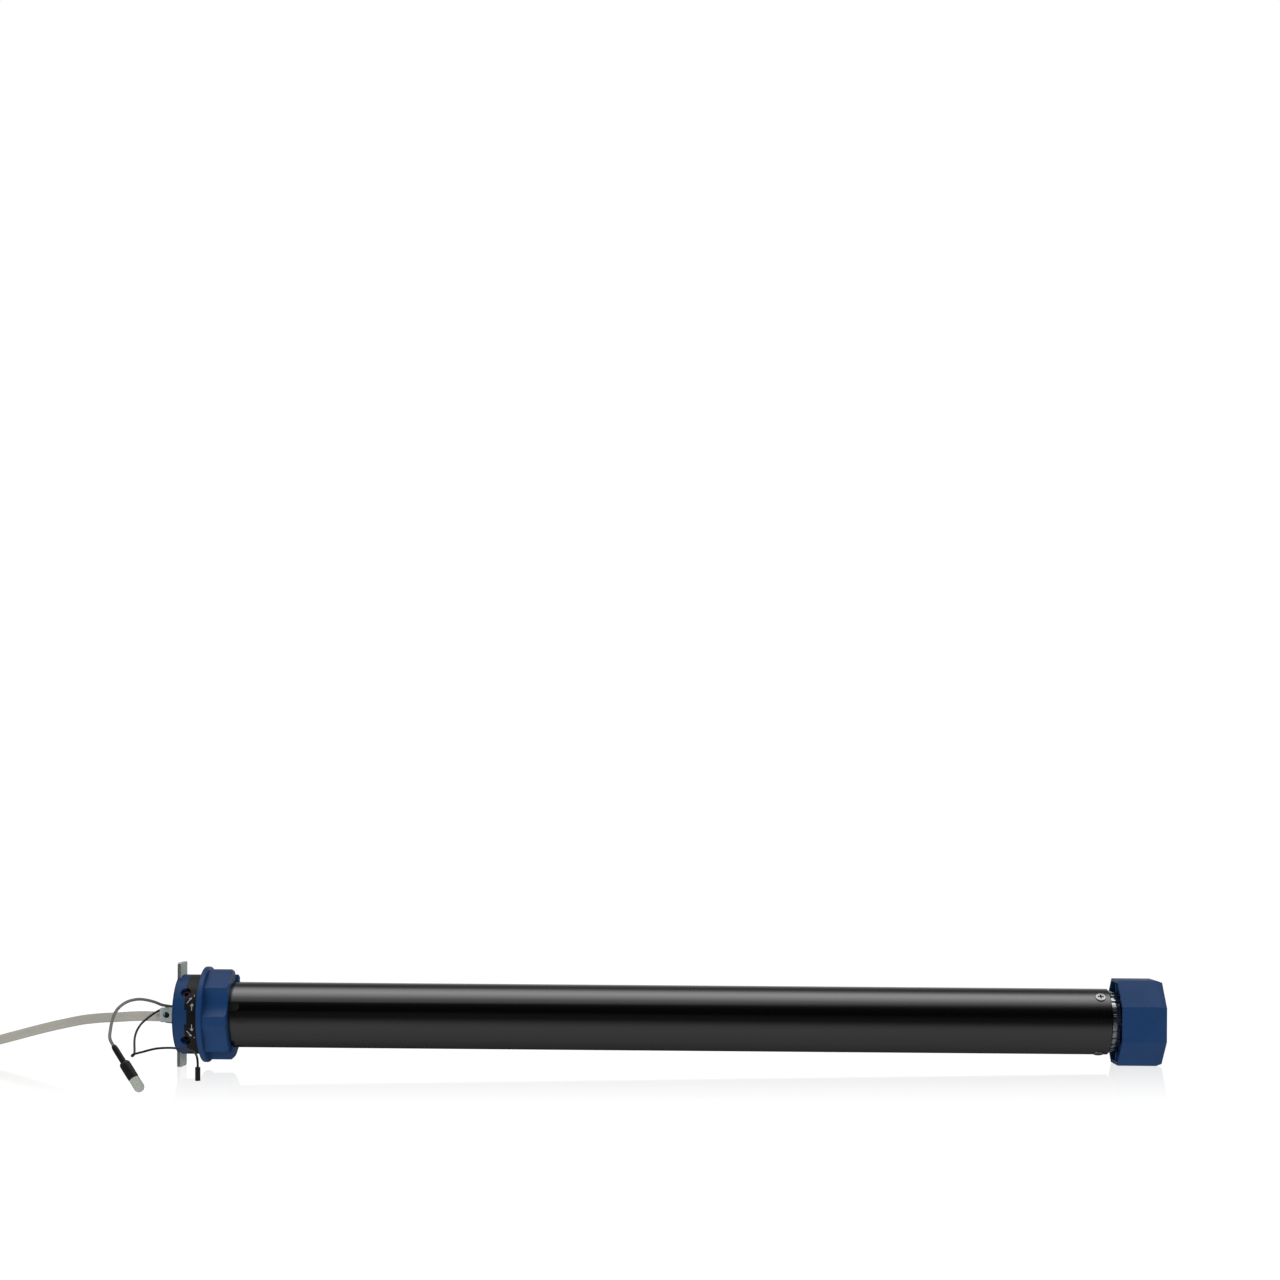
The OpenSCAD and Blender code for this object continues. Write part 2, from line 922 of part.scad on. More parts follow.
// Planetary gearbox
gear_x = front_shield_x + shield_t + 2;
stage_l = 16;
ring_z = sun_z + 2*planet_z;
planet_off = (sun_z + planet_z)*planet_m/2;
carrier_t = 4;
carrier_r = (ring_z/2 - addendum)*planet_m - 0.5;
housing_end = gear_x + 3*stage_l + 4;

function stage_x(k) = gear_x + 1.5 + stage_l*k;

module gear_housing() {
    color("#9aa0a4")
    laid()
        ring_gear(gear_x, housing_end, plug_r, ring_z, planet_m);
}

module planet(stage, k) {
    x = stage_x(stage);
    color(stage == 0 ? "#e8e0c8" : "#b8bcc0")
    laid()
    rotate([120*k, 0, 0])
        translate([0, planet_off, 0])
            difference() {
                along(x, x + planet_w)
                    gear(planet_z, planet_m);
                bar(x - 1, x + planet_w + 1, planet_pin_d/2 + run_gap);
            }
}

module first_planet_a() { planet(0, 0); }
module first_planet_b() { planet(0, 1); }
module first_planet_c() { planet(0, 2); }
module second_planet_a() { planet(1, 0); }
module second_planet_b() { planet(1, 1); }
module second_planet_c() { planet(1, 2); }
module third_planet_a() { planet(2, 0); }
module third_planet_b() { planet(2, 1); }
module third_planet_c() { planet(2, 2); }

module carrier(stage) {
    x = stage_x(stage);
    bar(x + planet_w + 0.5, x + planet_w + 0.5 + carrier_t, carrier_r);
    for (k = [0 : 2])
        rotate([120*k, 0, 0])
            bar(x + 0.5, x + planet_w + 1, planet_pin_d/2, planet_off, 0);
}

module sun_of(stage) {
    along(stage_x(stage) + planet_w + carrier_t, stage_x(stage + 1) + planet_w)
        gear(sun_z, planet_m);
}

module first_carrier() {
    color("#b8bcc0")
    laid() {
        carrier(0);
        sun_of(0);
    }
}

module second_carrier() {
    color("#b8bcc0")
    laid() {
        carrier(1);
        sun_of(1);
    }
}

shaft_end = wheel_end - 1.5;
flat_start = wheel_start + 2;

module third_carrier() {
    color(steel)
    laid() {
        carrier(2);
        bar(stage_x(2) + planet_w + carrier_t, flat_start, shaft_d/2);
        difference() {
            along(flat_start - e, shaft_end)
                intersection() {
                    circle(d = shaft_d);
                    square([shaft_flat, shaft_d], center = true);
                }
            ring(clip_x, clip_x + clip_t + 0.1, shaft_d, shaft_d/2 - 0.9);
        }
    }
}

// Output end
bush_r = 9;
bush_start = tube_end - 22;
screw_x = tube_end - 6.8;
screw_angle = 51;
screw_head_r = 3.55;
screw_shank_r = 2;
screw_head_t = 0.9;

module output_bearing() {
    color("#a8834a")
    laid()
        ring(bush_start, tube_end, bush_r, shaft_d/2 + run_gap);
}

module end_plug() {
    color("#a9adb0")
    laid()
    difference() {
        bar(tube_end - 30, tube_end - 0.3, plug_r);
        bar(tube_end - 31, bush_start, shaft_d/2 + 1);
        bar(bush_start, tube_end + 1, bush_r);
        for (k = [0 : 2])
            at_angle(screw_angle + 120*k)
                radial(screw_x, bush_r + 2, tube_r, screw_shank_r);
    }
}

module tube_screws() {
    color("#d9dcde")
    laid()
    for (k = [0 : 2])
        at_angle(screw_angle + 120*k)
            difference() {
                union() {
                    radial(screw_x, bush_r + 3, tube_r + e, screw_shank_r);
                    radial(screw_x, tube_r, tube_r + screw_head_t, screw_head_r);
                }
                translate([screw_x, -tube_r + 1.2, 0])
                    rotate([90, 0, 0])
                        linear_extrude(4)
                            cross(3.8, 0.9);
            }
}

hub_start = tube_end + 0.6;
hub_end = wheel_start + 1.8;
hub_r = 19.6;
rib_n = 12;

module output_hub() {
    color("#c9cccd")
    laid()
    difference() {
        union() {
            bar(hub_start, hub_start + 2, hub_r);
            bar(hub_start, hub_end, shaft_d/2 + 3.5);
            ring(hub_start, hub_end - 1, hub_r, hub_r - 1.6);
            along(hub_start, hub_end - 0.8)
                for (k = [0 : rib_n - 1])
                    rotate(360*k/rib_n)
                        translate([shaft_d/2 + 3, -0.6])
                            square([hub_r - shaft_d/2 - 4, 1.2]);
        }
        bar(hub_start - 1, hub_end + 1, shaft_d/2 + 0.02);
    }
}

// Drive wheel: an octagon that stands on one of its flats
corner_r = wheel_af/2/cos(22.5);
wheel_depth = 22;
wheel_ribs = 8;
wheel_rib_t = 1.6;
rib_step = 0.8;

module octagon(r) {
    rotate(22.5)
        circle(r = r, $fn = 8);
}

module wheel_body() {
    along(wheel_start, wheel_end - wheel_chamfer_l)
        octagon(corner_r);
    wheel_chamfer();
}

// The chamfered end, as an octagon cut by eight leaning planes
module wheel_chamfer() {
    slope = atan(wheel_chamfer_d/wheel_chamfer_l);
    intersection() {
        along(wheel_end - wheel_chamfer_l - e, wheel_end)
            octagon(corner_r);
        for_all_flats(slope);
    }
}

module for_all_flats(slope) {
    difference() {
        bar(wheel_end - wheel_chamfer_l - 1, wheel_end + 1, corner_r + 2);
        for (k = [0 : 7])
            rotate([45*k, 0, 0])
                translate([wheel_end - wheel_chamfer_l, 0, wheel_af/2])
                    rotate([0, slope, 0])
                        translate([-1, -corner_r, 0])
                            cube([3*wheel_chamfer_l, 2*corner_r, 10]);
    }
}

// Ribs from x0 to the wheel's end, and from a radius out to its wall
module wheel_rib_ring(x0, r0) {
    along(x0, wheel_end)
        for (k = [0 : wheel_ribs - 1])
            rotate(45*k)
                translate([r0, -wheel_rib_t/2])
                    square([corner_r - r0, wheel_rib_t]);
}

module drive_wheel() {
    hollow_start = hub_end + 0.3;
    color(blue)
    laid()
    difference() {
        wheel_body();
        difference() {
            along(wheel_start - 1, wheel_start + wheel_depth)
                octagon(corner_r - wheel_wall/cos(22.5));
            bar(hollow_start, wheel_end, wheel_hub_d/2);
            wheel_rib_ring(hollow_start + 1, wheel_hub_d/2 - 1);
            wheel_rib_ring(wheel_start + rib_step, hub_r + 0.6);
        }
        along(wheel_start - 1, wheel_end + 1)
            intersection() {
                circle(d = shaft_d + 0.2);
                square([shaft_flat + 0.2, shaft_d + 2], center = true);
            }
        bar(clip_x - 0.1, wheel_end + 1, clip_r + 0.6);
    }
}

clip_t = 1.2;
clip_x = wheel_end - 4;
clip_r = shaft_d/2 + 2.4;

module wheel_clip() {
    color(steel)
    laid()
    difference() {
        bar(clip_x, clip_x + clip_t, clip_r);
        bar(clip_x - 1, clip_x + clip_t + 1, shaft_d/2 - 0.8);
        block([clip_x - 1, -2.2, 0], [clip_x + clip_t + 1, 2.2, clip_r + 1]);
    }
}

// Crown: a round flange, an octagonal body and a ring gear inside
crown_start = ring_end + 0.3;
crown_end = crown_start + crown_l;
crown_bore = tube_r + crown_fit;
crown_gear_end = train_x + idler_w + 0.6;
chamfer_half = 6;
scoop_r = 17;
scoop_floor_r = 26;
scoop_turn = 19.5;
cone_l = 1.6;
cone_over = 0.2;
lug_start = crown_end - 2.5;
lug_end = crown_end + 1.5;
lug_r = 28.3;
lug_w = 6;
lug_ease = 0.8;
lug_angle = 108;

// Corners every 45 degrees: every second one is cut to a narrow flat, and a scoop follows each sharp one
module crown_outline() {
    difference() {
        polygon([for (k = [0 : 7]) for (s = [-1, 1])
            let(half = k % 2 == 0 ? 0.05 : chamfer_half, a = 45*k + s*half)
            crown_corner_r*[cos(a), sin(a)]]);
        for (k = [0 : 2 : 6])
            rotate(45*k + scoop_turn)
                translate([scoop_floor_r + scoop_r, 0])
                    circle(r = scoop_r);
    }
}

// A lug that fills the end of a scoop and stands over the crown's end
module crown_lug() {
    intersection() {
        block([lug_start, crown_bore + 0.2, -lug_w/2], [lug_end, lug_r + 1, lug_w/2]);
        union() {
            bar(lug_start - 1, lug_end - lug_ease, lug_r);
            bar(lug_end - lug_ease - e, lug_end, lug_r, r2 = lug_r - lug_ease);
        }
    }
}

module crown() {
    rim = 1;
    color(blue)
    laid()
    rotate([crown_turn, 0, 0])
        difference() {
            union() {
                bar(crown_start, crown_start + rim, crown_flange_d/2 - rim, r2 = crown_flange_d/2);
                bar(crown_start + rim - e, crown_start + crown_flange_t - rim, crown_flange_d/2);
                bar(crown_start + crown_flange_t - rim - e, crown_start + crown_flange_t,
                    crown_flange_d/2, r2 = crown_flange_d/2 - rim);
                intersection() {
                    along(crown_start + 1, crown_end)
                        crown_outline();
                    union() {
                        bar(crown_start, crown_end - cone_l - cone_over + e, crown_corner_r + 1);
                        bar(crown_end - cone_l - cone_over, crown_end, crown_corner_r + cone_over,
                            r2 = crown_corner_r - cone_l);
                    }
                }
                for (k = [0, 1])
                    rotate([180*k + lug_angle, 0, 0])
                        crown_lug();
            }
            bar(crown_start - 1, lug_end + 1, crown_bore, $fn = 96);
            along(crown_start - 1, crown_gear_end)
                rotate(-crown_turn)
                    ring_space(crown_z, crown_m);
        }
}

// Cords: each is one tube swept along its points, given from the head's end plane on the floor
function unit(v) = v/norm(v);

function tangents(p) = [for (i = [0 : len(p) - 1])
    unit(p[min(i + 1, len(p) - 1)] - p[max(i - 1, 0)])];

function carry(n, t) = unit(n - (n*t)*t);

function normals(t, first) =
    [for (i = 0, n = carry(first, t[0]); i < len(t); i = i + 1,
          n = i < len(t) ? carry(n, t[i]) : n) n];

module sweep(p, r, sides, first) {
    t = tangents(p);
    n = normals(t, first);
    rows = len(p);
    points = [for (i = [0 : rows - 1]) for (k = [0 : sides - 1])
        let(b = cross(t[i], n[i]), a = 360*k/sides)
        p[i] + r*(cos(a)*n[i] + sin(a)*b)];
    walls = [for (i = [0 : rows - 2]) for (k = [0 : sides - 1])
        let(a = i*sides + k, b = i*sides + (k + 1) % sides)
        each [[a, b, b + sides], [a, b + sides, a + sides]]];
    polyhedron(points, concat(
        [[for (k = [0 : sides - 1]) sides - 1 - k]],
        walls,
        [[for (k = [0 : sides - 1]) (rows - 1)*sides + k]]));
}

function length_of(p, i = 0) = i >= len(p) - 1 ? 0 : norm(p[i + 1] - p[i]) + length_of(p, i + 1);

mains_start = on_floor([-gland_nose, 0, cable_z]);
coil_x0 = -218;
coil_near_y = 64;
coil_pitch = mains_d + 0.6;
coil_r = 49;
coil_lie = mains_d/2;
mains_route = concat([mains_start, on_floor([-gland_nose - mains_d, 0, cable_z])], [
    [-25, 1.5, 34.5], [-34, 5, 34.1], [-43, 11, 33.2], [-52, 19, 32.2], [-61, 28, 31.2],
    [-70, 37, 29.9], [-80, 45, 28.3], [-91, 52, 26], [-104, 57, 23.1], [-119, 61, 19.4],
    [-135, 63, 15.2], [-152, 64, 10.9], [-171, 64, 6.9], [-190, 64, 4.2]],
    [for (k = [2, 1]) [coil_x0 + k*mains_d, coil_near_y, coil_lie]]);

sensor_top = [-8.6, -149.2, 28.45];
sensor_way = unit([17.5, -6.4, -25.05]);
sensor_start = on_floor([gland_start, -lead_y, lead_z]);
sensor_route = concat([sensor_start, on_floor([gland_start - lead_run, -lead_y, lead_z])], [
    [-3.3, -2.7, 41.1], [-6.2, -5.4, 41.8], [-8.4, -9, 42.5], [-10, -13.2, 43.4],
    [-11, -18, 44.6], [-11.8, -23.5, 45.9], [-13.1, -32, 47.5], [-14.3, -41, 48.9],
    [-15.3, -51, 50], [-16, -61.5, 50.6], [-16.4, -73, 50.8], [-16.4, -84, 50.6],
    [-15.8, -97, 50], [-15.1, -110, 48.8], [-14.7, -117.5, 47.5], [-14.2, -125.5, 45.3],
    [-13.3, -133.5, 42.4], [-12.6, -139, 39.7], [-12.1, -142.8, 37.1], [-11.6, -146.2, 34.4],
    [-10.7, -148.3, 31.8]],
    [sensor_top - 1.5*sensor_way, sensor_top]);
sleeve_d = 3.9;
sleeve_l = 12.65;
body_l = 12.4;
dome_d = 6.6;
dome_l = 9.55;

tip_x = 31.8;
tip_y = -92;
tip_l = 9;
tip_d = 3.4;
aerial_start = on_floor([gland_start, lead_y, lead_z]);
aerial_route = concat([aerial_start, on_floor([gland_start - lead_run, lead_y, lead_z])], [
    [-4, 1.4, 40.6], [-7.8, 0.6, 40.4], [-11, -0.9, 39.8], [-13.6, -3.2, 38.9],
    [-15.7, -7, 37.6], [-17.5, -11.5, 36], [-19.7, -18, 33.6], [-21, -23, 31.8],
    [-21.8, -27, 30], [-22.2, -33, 27.3], [-22.1, -38, 24.5], [-21.6, -42, 21.7],
    [-20.8, -45.5, 18.7], [-20, -48.5, 15.8], [-19.5, -51.5, 13.5], [-19.7, -54.5, 12.4],
    [-19.8, -57, 12.9], [-18.4, -58.6, 13.9], [-15, -58.8, 14.9], [-12.3, -58, 15.5],
    [-8.6, -57, 16.5], [-4, -56.7, 17.5], [1, -58.2, 18.1], [7.4, -62.5, 18.6],
    [13.8, -68.5, 18.8], [19.8, -75, 18.9], [24, -80.5, 18.8], [27.6, -85.3, 18.3],
    [30.1, -89, 16.8], [31.4, -91.3, 14.3]],
    [for (k = [1.5, 0]) [tip_x, tip_y, tip_l + k*aerial_d]]);

module cord(p, d, sides, tint) {
    color(tint)
    translate([-mid_x, 0, 0])
        sweep(p, d/2, sides, [0, 0, 1]);
}

module mains_cable() {
    cord(mains_route, mains_d, 12, "#c9c8c0");
}

module sensor_lead() {
    cord(sensor_route, sensor_lead_d, 8, "#8b8a88");
}

module aerial_wire() {
    cord(aerial_route, aerial_d, 8, "#29292a");
}

// A round bar from a point along a direction
module leaning_bar(p, way, l, r) {
    translate(p - [mid_x, 0, 0])
        rotate([0, acos(way[2]), atan2(way[1], way[0])])
            cylinder(h = l, r = r);
}

module sensor_sleeve() {
    color(black)
        leaning_bar(sensor_top, sensor_way, sleeve_l, sleeve_d/2);
}

module sensor_body() {
    color(black)
        leaning_bar(sensor_top + sleeve_l*sensor_way, sensor_way, body_l, sensor_d/2);
}

module sensor_dome() {
    color("#d7dad8")
    translate(sensor_top + (sleeve_l + body_l)*sensor_way - [mid_x, 0, 0])
        rotate([0, acos(sensor_way[2]), atan2(sensor_way[1], sensor_way[0])])
            rotate_extrude()
                dome_profile();
}

module dome_profile() {
    round_r = dome_d/2;
    intersection() {
        union() {
            square([round_r, dome_l - round_r]);
            translate([0, dome_l - round_r])
                circle(r = round_r);
        }
        square([round_r + 1, dome_l + 1]);
    }
}

module aerial_tip() {
    chamfer = 0.4;
    color(black)
    translate([tip_x - mid_x, tip_y, 0]) {
        cylinder(h = chamfer, r1 = tip_d/2 - chamfer, r2 = tip_d/2);
        translate([0, 0, chamfer - e])
            cylinder(h = tip_l - 2*chamfer + 2*e, r = tip_d/2);
        translate([0, 0, tip_l - chamfer])
            cylinder(h = chamfer, r1 = tip_d/2, r2 = tip_d/2 - chamfer);
    }
}

// Mains coil: four layers that spiral in, out, in and out at a steady rate.
// It climbs a layer in the half turn where the spiral reverses.
coil_layers = 4;
coil_rings = 24;
coil_all = coil_turns*coil_layers - 0.5;
coil_steps = round(coil_all*coil_rings);

function coil_layer(t) = floor(t/coil_turns);
function coil_in(t) =
    let(k = coil_layer(t), part = t - k*coil_turns)
    k % 2 == 0 ? part : coil_turns - part;
function coil_climb(t) =
    let(near = round(t/coil_turns), from = t - near*coil_turns)
    near >= 1 && near < coil_layers && abs(from) < 0.25
        ? near - 0.5 + from/0.5
        : coil_layer(t);
function coil_point(t) =
    let(r = coil_r - coil_pitch*coil_in(t), a = 360*t)
    [coil_x0 - r*sin(a), coil_near_y + coil_r - r*cos(a), coil_lie + coil_pitch*coil_climb(t)];

coil_centre = [for (i = [0 : coil_steps]) coil_point(i/coil_rings)];
coil_last = coil_centre[coil_steps];
coil_out = unit((coil_last - coil_centre[coil_steps - 1]) - [0, 0, (coil_last - coil_centre[coil_steps - 1])[2]]);
coil_route = concat([coil_centre[0] + [mains_d, 0, 0]], coil_centre, [coil_last + mains_d*coil_out]);

// Least distance between points of the coil that lie over a third of a turn apart
coil_gap = min([for (i = [0 : 2 : coil_steps]) for (j = [i + 9 : coil_steps])
    norm(coil_centre[i] - coil_centre[j])]) - mains_d;

module mains_coil() {
    color("#c9c8c0")
    translate([-mid_x, 0, 0])
        sweep(coil_route, mains_d/2, 6, [0, 0, 1]);
}

// Stripped end: three cores and their ferrules
core_d = 2.2;
core_l = 28;
ferrule_l = 8;

module mains_cores() {
    from = coil_last + mains_d*coil_out - [mid_x, 0, 0];
    side = cross(coil_out, [0, 0, 1]);
    for (k = [-1, 0, 1]) {
        at = from + side*k*2 + [0, 0, k == 0 ? 0.9 : -0.9];
        color(k < 0 ? "#6b4a2c" : k > 0 ? "#2c5c9a" : "#7d9a3a")
            core_bar(at, core_l - ferrule_l, core_d/2);
        color("#b9bcbf")
            core_bar(at + (core_l - ferrule_l - e)*coil_out, ferrule_l, core_d/2 - 0.35);
    }
}

module core_bar(p, l, r) {
    translate(p)
        rotate([0, 90, atan2(coil_out[1], coil_out[0])])
            cylinder(h = l, r = r);
}

echo(mains_length = length_of(mains_route) + length_of(coil_route), sensor_length = length_of(sensor_route),
    aerial_length = length_of(aerial_route));
echo(coil_gap = coil_gap, coil_loops = coil_all, lie_angle = lie_angle, rest_height = rest_height, mid_x = mid_x);

mounting_plate();
plate_screws();
head_cap();
head_body();
cable_gland();
up_adjuster();
down_adjuster();
up_switch();
down_switch();
up_lever();
down_lever();
up_cam();
down_cam();
cam_drive_gear();
idler_gear();
limit_frame();
control_board();
capacitor();
motor_tube();
brake_coil();
brake_spring();
brake_armature();
brake_disc();
rear_shield();
front_shield();
rear_bearing();
front_bearing();
stator_core();
stator_windings();
rotor_core();
rotor_shaft();
gear_housing();
first_planet_a();
first_planet_b();
first_planet_c();
second_planet_a();
second_planet_b();
second_planet_c();
third_planet_a();
third_planet_b();
third_planet_c();
first_carrier();
second_carrier();
third_carrier();
output_bearing();
end_plug();
tube_screws();
output_hub();
drive_wheel();
wheel_clip();
crown();
mains_cable();
mains_coil();
mains_cores();
sensor_lead();
sensor_sleeve();
sensor_body();
sensor_dome();
aerial_wire();
aerial_tip();
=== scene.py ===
# %% [markdown]
# # A tubular roller blind motor
#
# The motor lies on a white studio floor with its head to the left. The construction comes from a packed
# CAD model, which is loaded as a fixed frame. This script gives it its looks: cords at their real length,
# moulded and stamped shapes with eased edges, printed marks, and a finish for every surface.

# %% Load the frame
import json
import math

import bmesh
import bpy
import numpy as np
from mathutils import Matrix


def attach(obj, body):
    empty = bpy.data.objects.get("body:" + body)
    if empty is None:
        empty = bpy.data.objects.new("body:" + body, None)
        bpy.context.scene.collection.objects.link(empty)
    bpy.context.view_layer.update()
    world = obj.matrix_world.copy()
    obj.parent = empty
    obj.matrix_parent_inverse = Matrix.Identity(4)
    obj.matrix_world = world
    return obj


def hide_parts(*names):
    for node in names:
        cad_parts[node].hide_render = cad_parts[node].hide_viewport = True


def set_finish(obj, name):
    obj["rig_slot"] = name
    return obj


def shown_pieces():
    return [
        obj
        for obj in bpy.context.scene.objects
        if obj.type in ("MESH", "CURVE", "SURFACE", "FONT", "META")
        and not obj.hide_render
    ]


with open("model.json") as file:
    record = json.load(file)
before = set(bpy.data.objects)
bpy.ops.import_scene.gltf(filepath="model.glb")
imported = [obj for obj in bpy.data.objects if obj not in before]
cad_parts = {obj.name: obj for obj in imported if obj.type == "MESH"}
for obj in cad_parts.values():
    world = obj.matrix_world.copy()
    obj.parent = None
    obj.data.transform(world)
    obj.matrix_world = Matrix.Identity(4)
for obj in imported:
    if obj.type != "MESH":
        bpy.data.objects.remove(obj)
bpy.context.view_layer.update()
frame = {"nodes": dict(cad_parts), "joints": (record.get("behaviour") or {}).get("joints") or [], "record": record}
NODES = frame["nodes"]

# %% [markdown]
# The motor's axis leans a little, because its bracket plate is taller than its drive wheel. Shapes are
# easiest to give in the motor's own millimetres: X along the axis from the head's end plane, Y to the
# back and Z up. The output joint of the frame says where that axis runs, so nothing is typed twice.

# %% The motor's own axes
MM = 0.001
OUTPUT_JOINT_X = 640

spin = next(j for j in frame["joints"] if j["name"] == "output_spin")
AXIS = np.array(spin["axis"])
BACK = np.array([0.0, 1.0, 0.0])
UP = np.cross(AXIS, BACK)
HEAD_PLANE = np.array(spin["pos_m"]) - OUTPUT_JOINT_X * MM * AXIS
TURN = np.stack([AXIS, BACK, UP])


def laid(points):
    """Carries points from the motor's millimetres to the frame's metres: head plane + points times axes."""
    return HEAD_PLANE + np.asarray(points, float) * MM @ TURN


def on_floor(points):
    """Points in millimetres on the level floor, X from the head's end plane, to the frame's metres."""
    return np.asarray(points, float) * MM + [HEAD_PLANE[0], 0, 0]


def unit(vectors):
    """The same directions, each with length one."""
    return vectors / np.linalg.norm(vectors, axis=-1, keepdims=True)


def full_turn(count):
    """Angles of that many even steps round a circle."""
    return np.linspace(0, 2 * np.pi, count, endpoint=False)


print("axis leans by", round(math.degrees(math.atan2(-AXIS[2], AXIS[0])), 3), "degrees")

# %% [markdown]
# The camera comes first, because the cords are laid by what it sees. A lens of 63 mm on a 36 mm sensor, a
# metre and a half away and barely above the motor, gives the flat and calm view of a product picture. The
# camera is level, and its frame is shifted up, which puts the motor low in the picture without tilting
# anything. Two small functions come with it: one links a new object to the scene, the other stands a
# camera or a lamp in its place.

# %% Camera
CAMERA_AT = (15.53, -1540.5, 160.07)
CAMERA_YAW = 1.044
CAMERA_LIFT = 0.076
CAMERA_ROLL = -0.218
LENS = 63.03
SENSOR = 36.0
FRAME_SHIFT = 0.148


def new_object(name, data):
    """An object with that data, linked to the scene."""
    thing = bpy.data.objects.new(name, data)
    bpy.context.scene.collection.objects.link(thing)
    return thing


def stand(thing, turn, at):
    """Places a camera or a lamp: turn has its right, up and backwards as columns, at is in metres."""
    place = np.eye(4)
    place[:3, :3] = turn
    place[:3, 3] = at
    thing.matrix_world = place.T.tolist()


def aim(yaw, lift, roll):
    """Camera axes as columns: right, up and backwards, turned by yaw, lift above the horizon and roll."""
    yaw, lift, roll = np.radians([yaw, lift, roll])
    ahead = np.array([-np.sin(yaw) * np.cos(lift), np.cos(yaw) * np.cos(lift), np.sin(lift)])
    right = np.array([np.cos(yaw), np.sin(yaw), 0])
    up = np.cross(right, ahead)
    rolled = right * np.cos(roll) + up * np.sin(roll)
    return np.stack([rolled, up * np.cos(roll) - right * np.sin(roll), -ahead], 1)


camera = new_object("camera", bpy.data.cameras.new("camera"))
camera.data.lens = LENS
camera.data.sensor_width = SENSOR
camera.data.shift_y = FRAME_SHIFT
camera.data.clip_start = 0.05
camera.data.clip_end = 50
stand(camera, aim(CAMERA_YAW, CAMERA_LIFT, CAMERA_ROLL), np.array(CAMERA_AT) * MM)
bpy.context.scene.camera = camera

# %% [markdown]
# Every new shape here is a grid of points: rows of a profile, each with the same number of columns. Three
# small functions are enough. One names the four-sided faces of such a grid, one turns a mesh into an
# object with its body and finish, and one makes the mesh, merges the points that fall together at a pole,
# and turns all faces outwards if the volume is negative.

# %% Grids of points
SAME_POINT = 1e-7
NO_LENGTH = 1e-8


def grid_faces(rows, cols, closed, start):
    """Four-sided faces of a grid whose last column joins the first; closed joins the last row too."""
    r = np.arange(rows if closed else rows - 1)
    r, c = (a.ravel() for a in np.meshgrid(r, np.arange(cols), indexing="ij"))
    r2 = (r + 1) % rows
    c2 = (c + 1) % cols
    return start + np.stack([r * cols + c, r * cols + c2, r2 * cols + c2, r2 * cols + c], 1)


def dress(name, mesh, body, slot, stands_for, crease):
    """An object of that mesh, smooth but for edges sharper than crease degrees, riding on a body."""
    mesh.shade_smooth()
    mesh.set_sharp_from_angle(angle=math.radians(crease))
    piece = new_object(name, mesh)
    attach(piece, body)
    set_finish(piece, slot)
    if stands_for:
        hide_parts(*stands_for)
    return piece


def make_piece(name, grids, body, slot, stands_for=(), crease=32, closed=False):
    """A piece of the object from grids of points in metres, riding on a body of the frame."""
    faces = []
    start = 0
    for grid in grids:
        rows, cols = grid.shape[:2]
        faces.extend(grid_faces(rows, cols, closed, start).tolist())
        start += rows * cols
    mesh = bpy.data.meshes.new(name)
    mesh.from_pydata(np.concatenate([grid.reshape(-1, 3) for grid in grids]).tolist(), [], faces)
    work = bmesh.new()
    work.from_mesh(mesh)
    bmesh.ops.remove_doubles(work, verts=work.verts, dist=SAME_POINT)
    bmesh.ops.dissolve_degenerate(work, edges=work.edges, dist=NO_LENGTH)
    if work.calc_volume(signed=True) < 0:
        bmesh.ops.reverse_faces(work, faces=work.faces)
    work.to_mesh(mesh)
    work.free()
    print(f"{name}: {len(mesh.vertices)} points, {len(mesh.polygons)} faces")
    return dress(name, mesh, body, slot, stands_for, crease)


# %% [markdown]
# A cord is a circle carried along a path. The few points that are given become one smooth curve
# with the Catmull-Rom formula, which passes through every one of them. The circle is carried from ring to
# ring without twisting: each ring keeps the last one's side, less what leans into the path.

# %% Cords: a path and a tube along it
SPAN_STEPS = 12


def smooth_path(points, spacing):
    """Catmull-Rom curve through the points: a cubic on each span, from the points on both sides of it."""
    p = np.asarray(points, float)
    ends = np.concatenate([[2 * p[0] - p[1]], p, [2 * p[-1] - p[-2]]])
    a, b, c, d = ends[:-3], ends[1:-2], ends[2:-1], ends[3:]
    t = np.linspace(0, 1, SPAN_STEPS, endpoint=False)[:, None, None]
    span = 0.5 * (2 * b + (c - a) * t + (2 * a - 5 * b + 4 * c - d) * t**2
                  + (3 * b - a - 3 * c + d) * t**3)
    fine = np.concatenate([span.transpose(1, 0, 2).reshape(-1, 3), p[-1:]])
    run = np.concatenate([[0], np.cumsum(np.linalg.norm(np.diff(fine, axis=0), axis=1))])
    at = np.linspace(0, run[-1], max(8, int(run[-1] / spacing)))
    return np.stack([np.interp(at, run, fine[:, k]) for k in range(3)], 1)


def path_length(path):
    """Sum of the distances between the points."""
    return float(np.linalg.norm(np.diff(path, axis=0), axis=1).sum())


def tube_along(path, radii, sides):
    """Rings round a path, each a circle square to it; radii is one radius, or one for each point."""
    ahead = unit(np.gradient(path, axis=0))
    side = np.zeros_like(path)
    side[0] = unit(np.cross(ahead[0], [0.3, 0.9, 0.1]))
    for k in range(1, len(path)):
        side[k] = unit(side[k - 1] - (side[k - 1] @ ahead[k]) * ahead[k])
    over = np.cross(ahead, side)
    turn = full_turn(sides)
    circle = np.cos(turn)[:, None, None] * side + np.sin(turn)[:, None, None] * over
    rings = path + circle * np.broadcast_to(radii, len(path))[None, :, None]
    return rings.transpose(1, 0, 2)


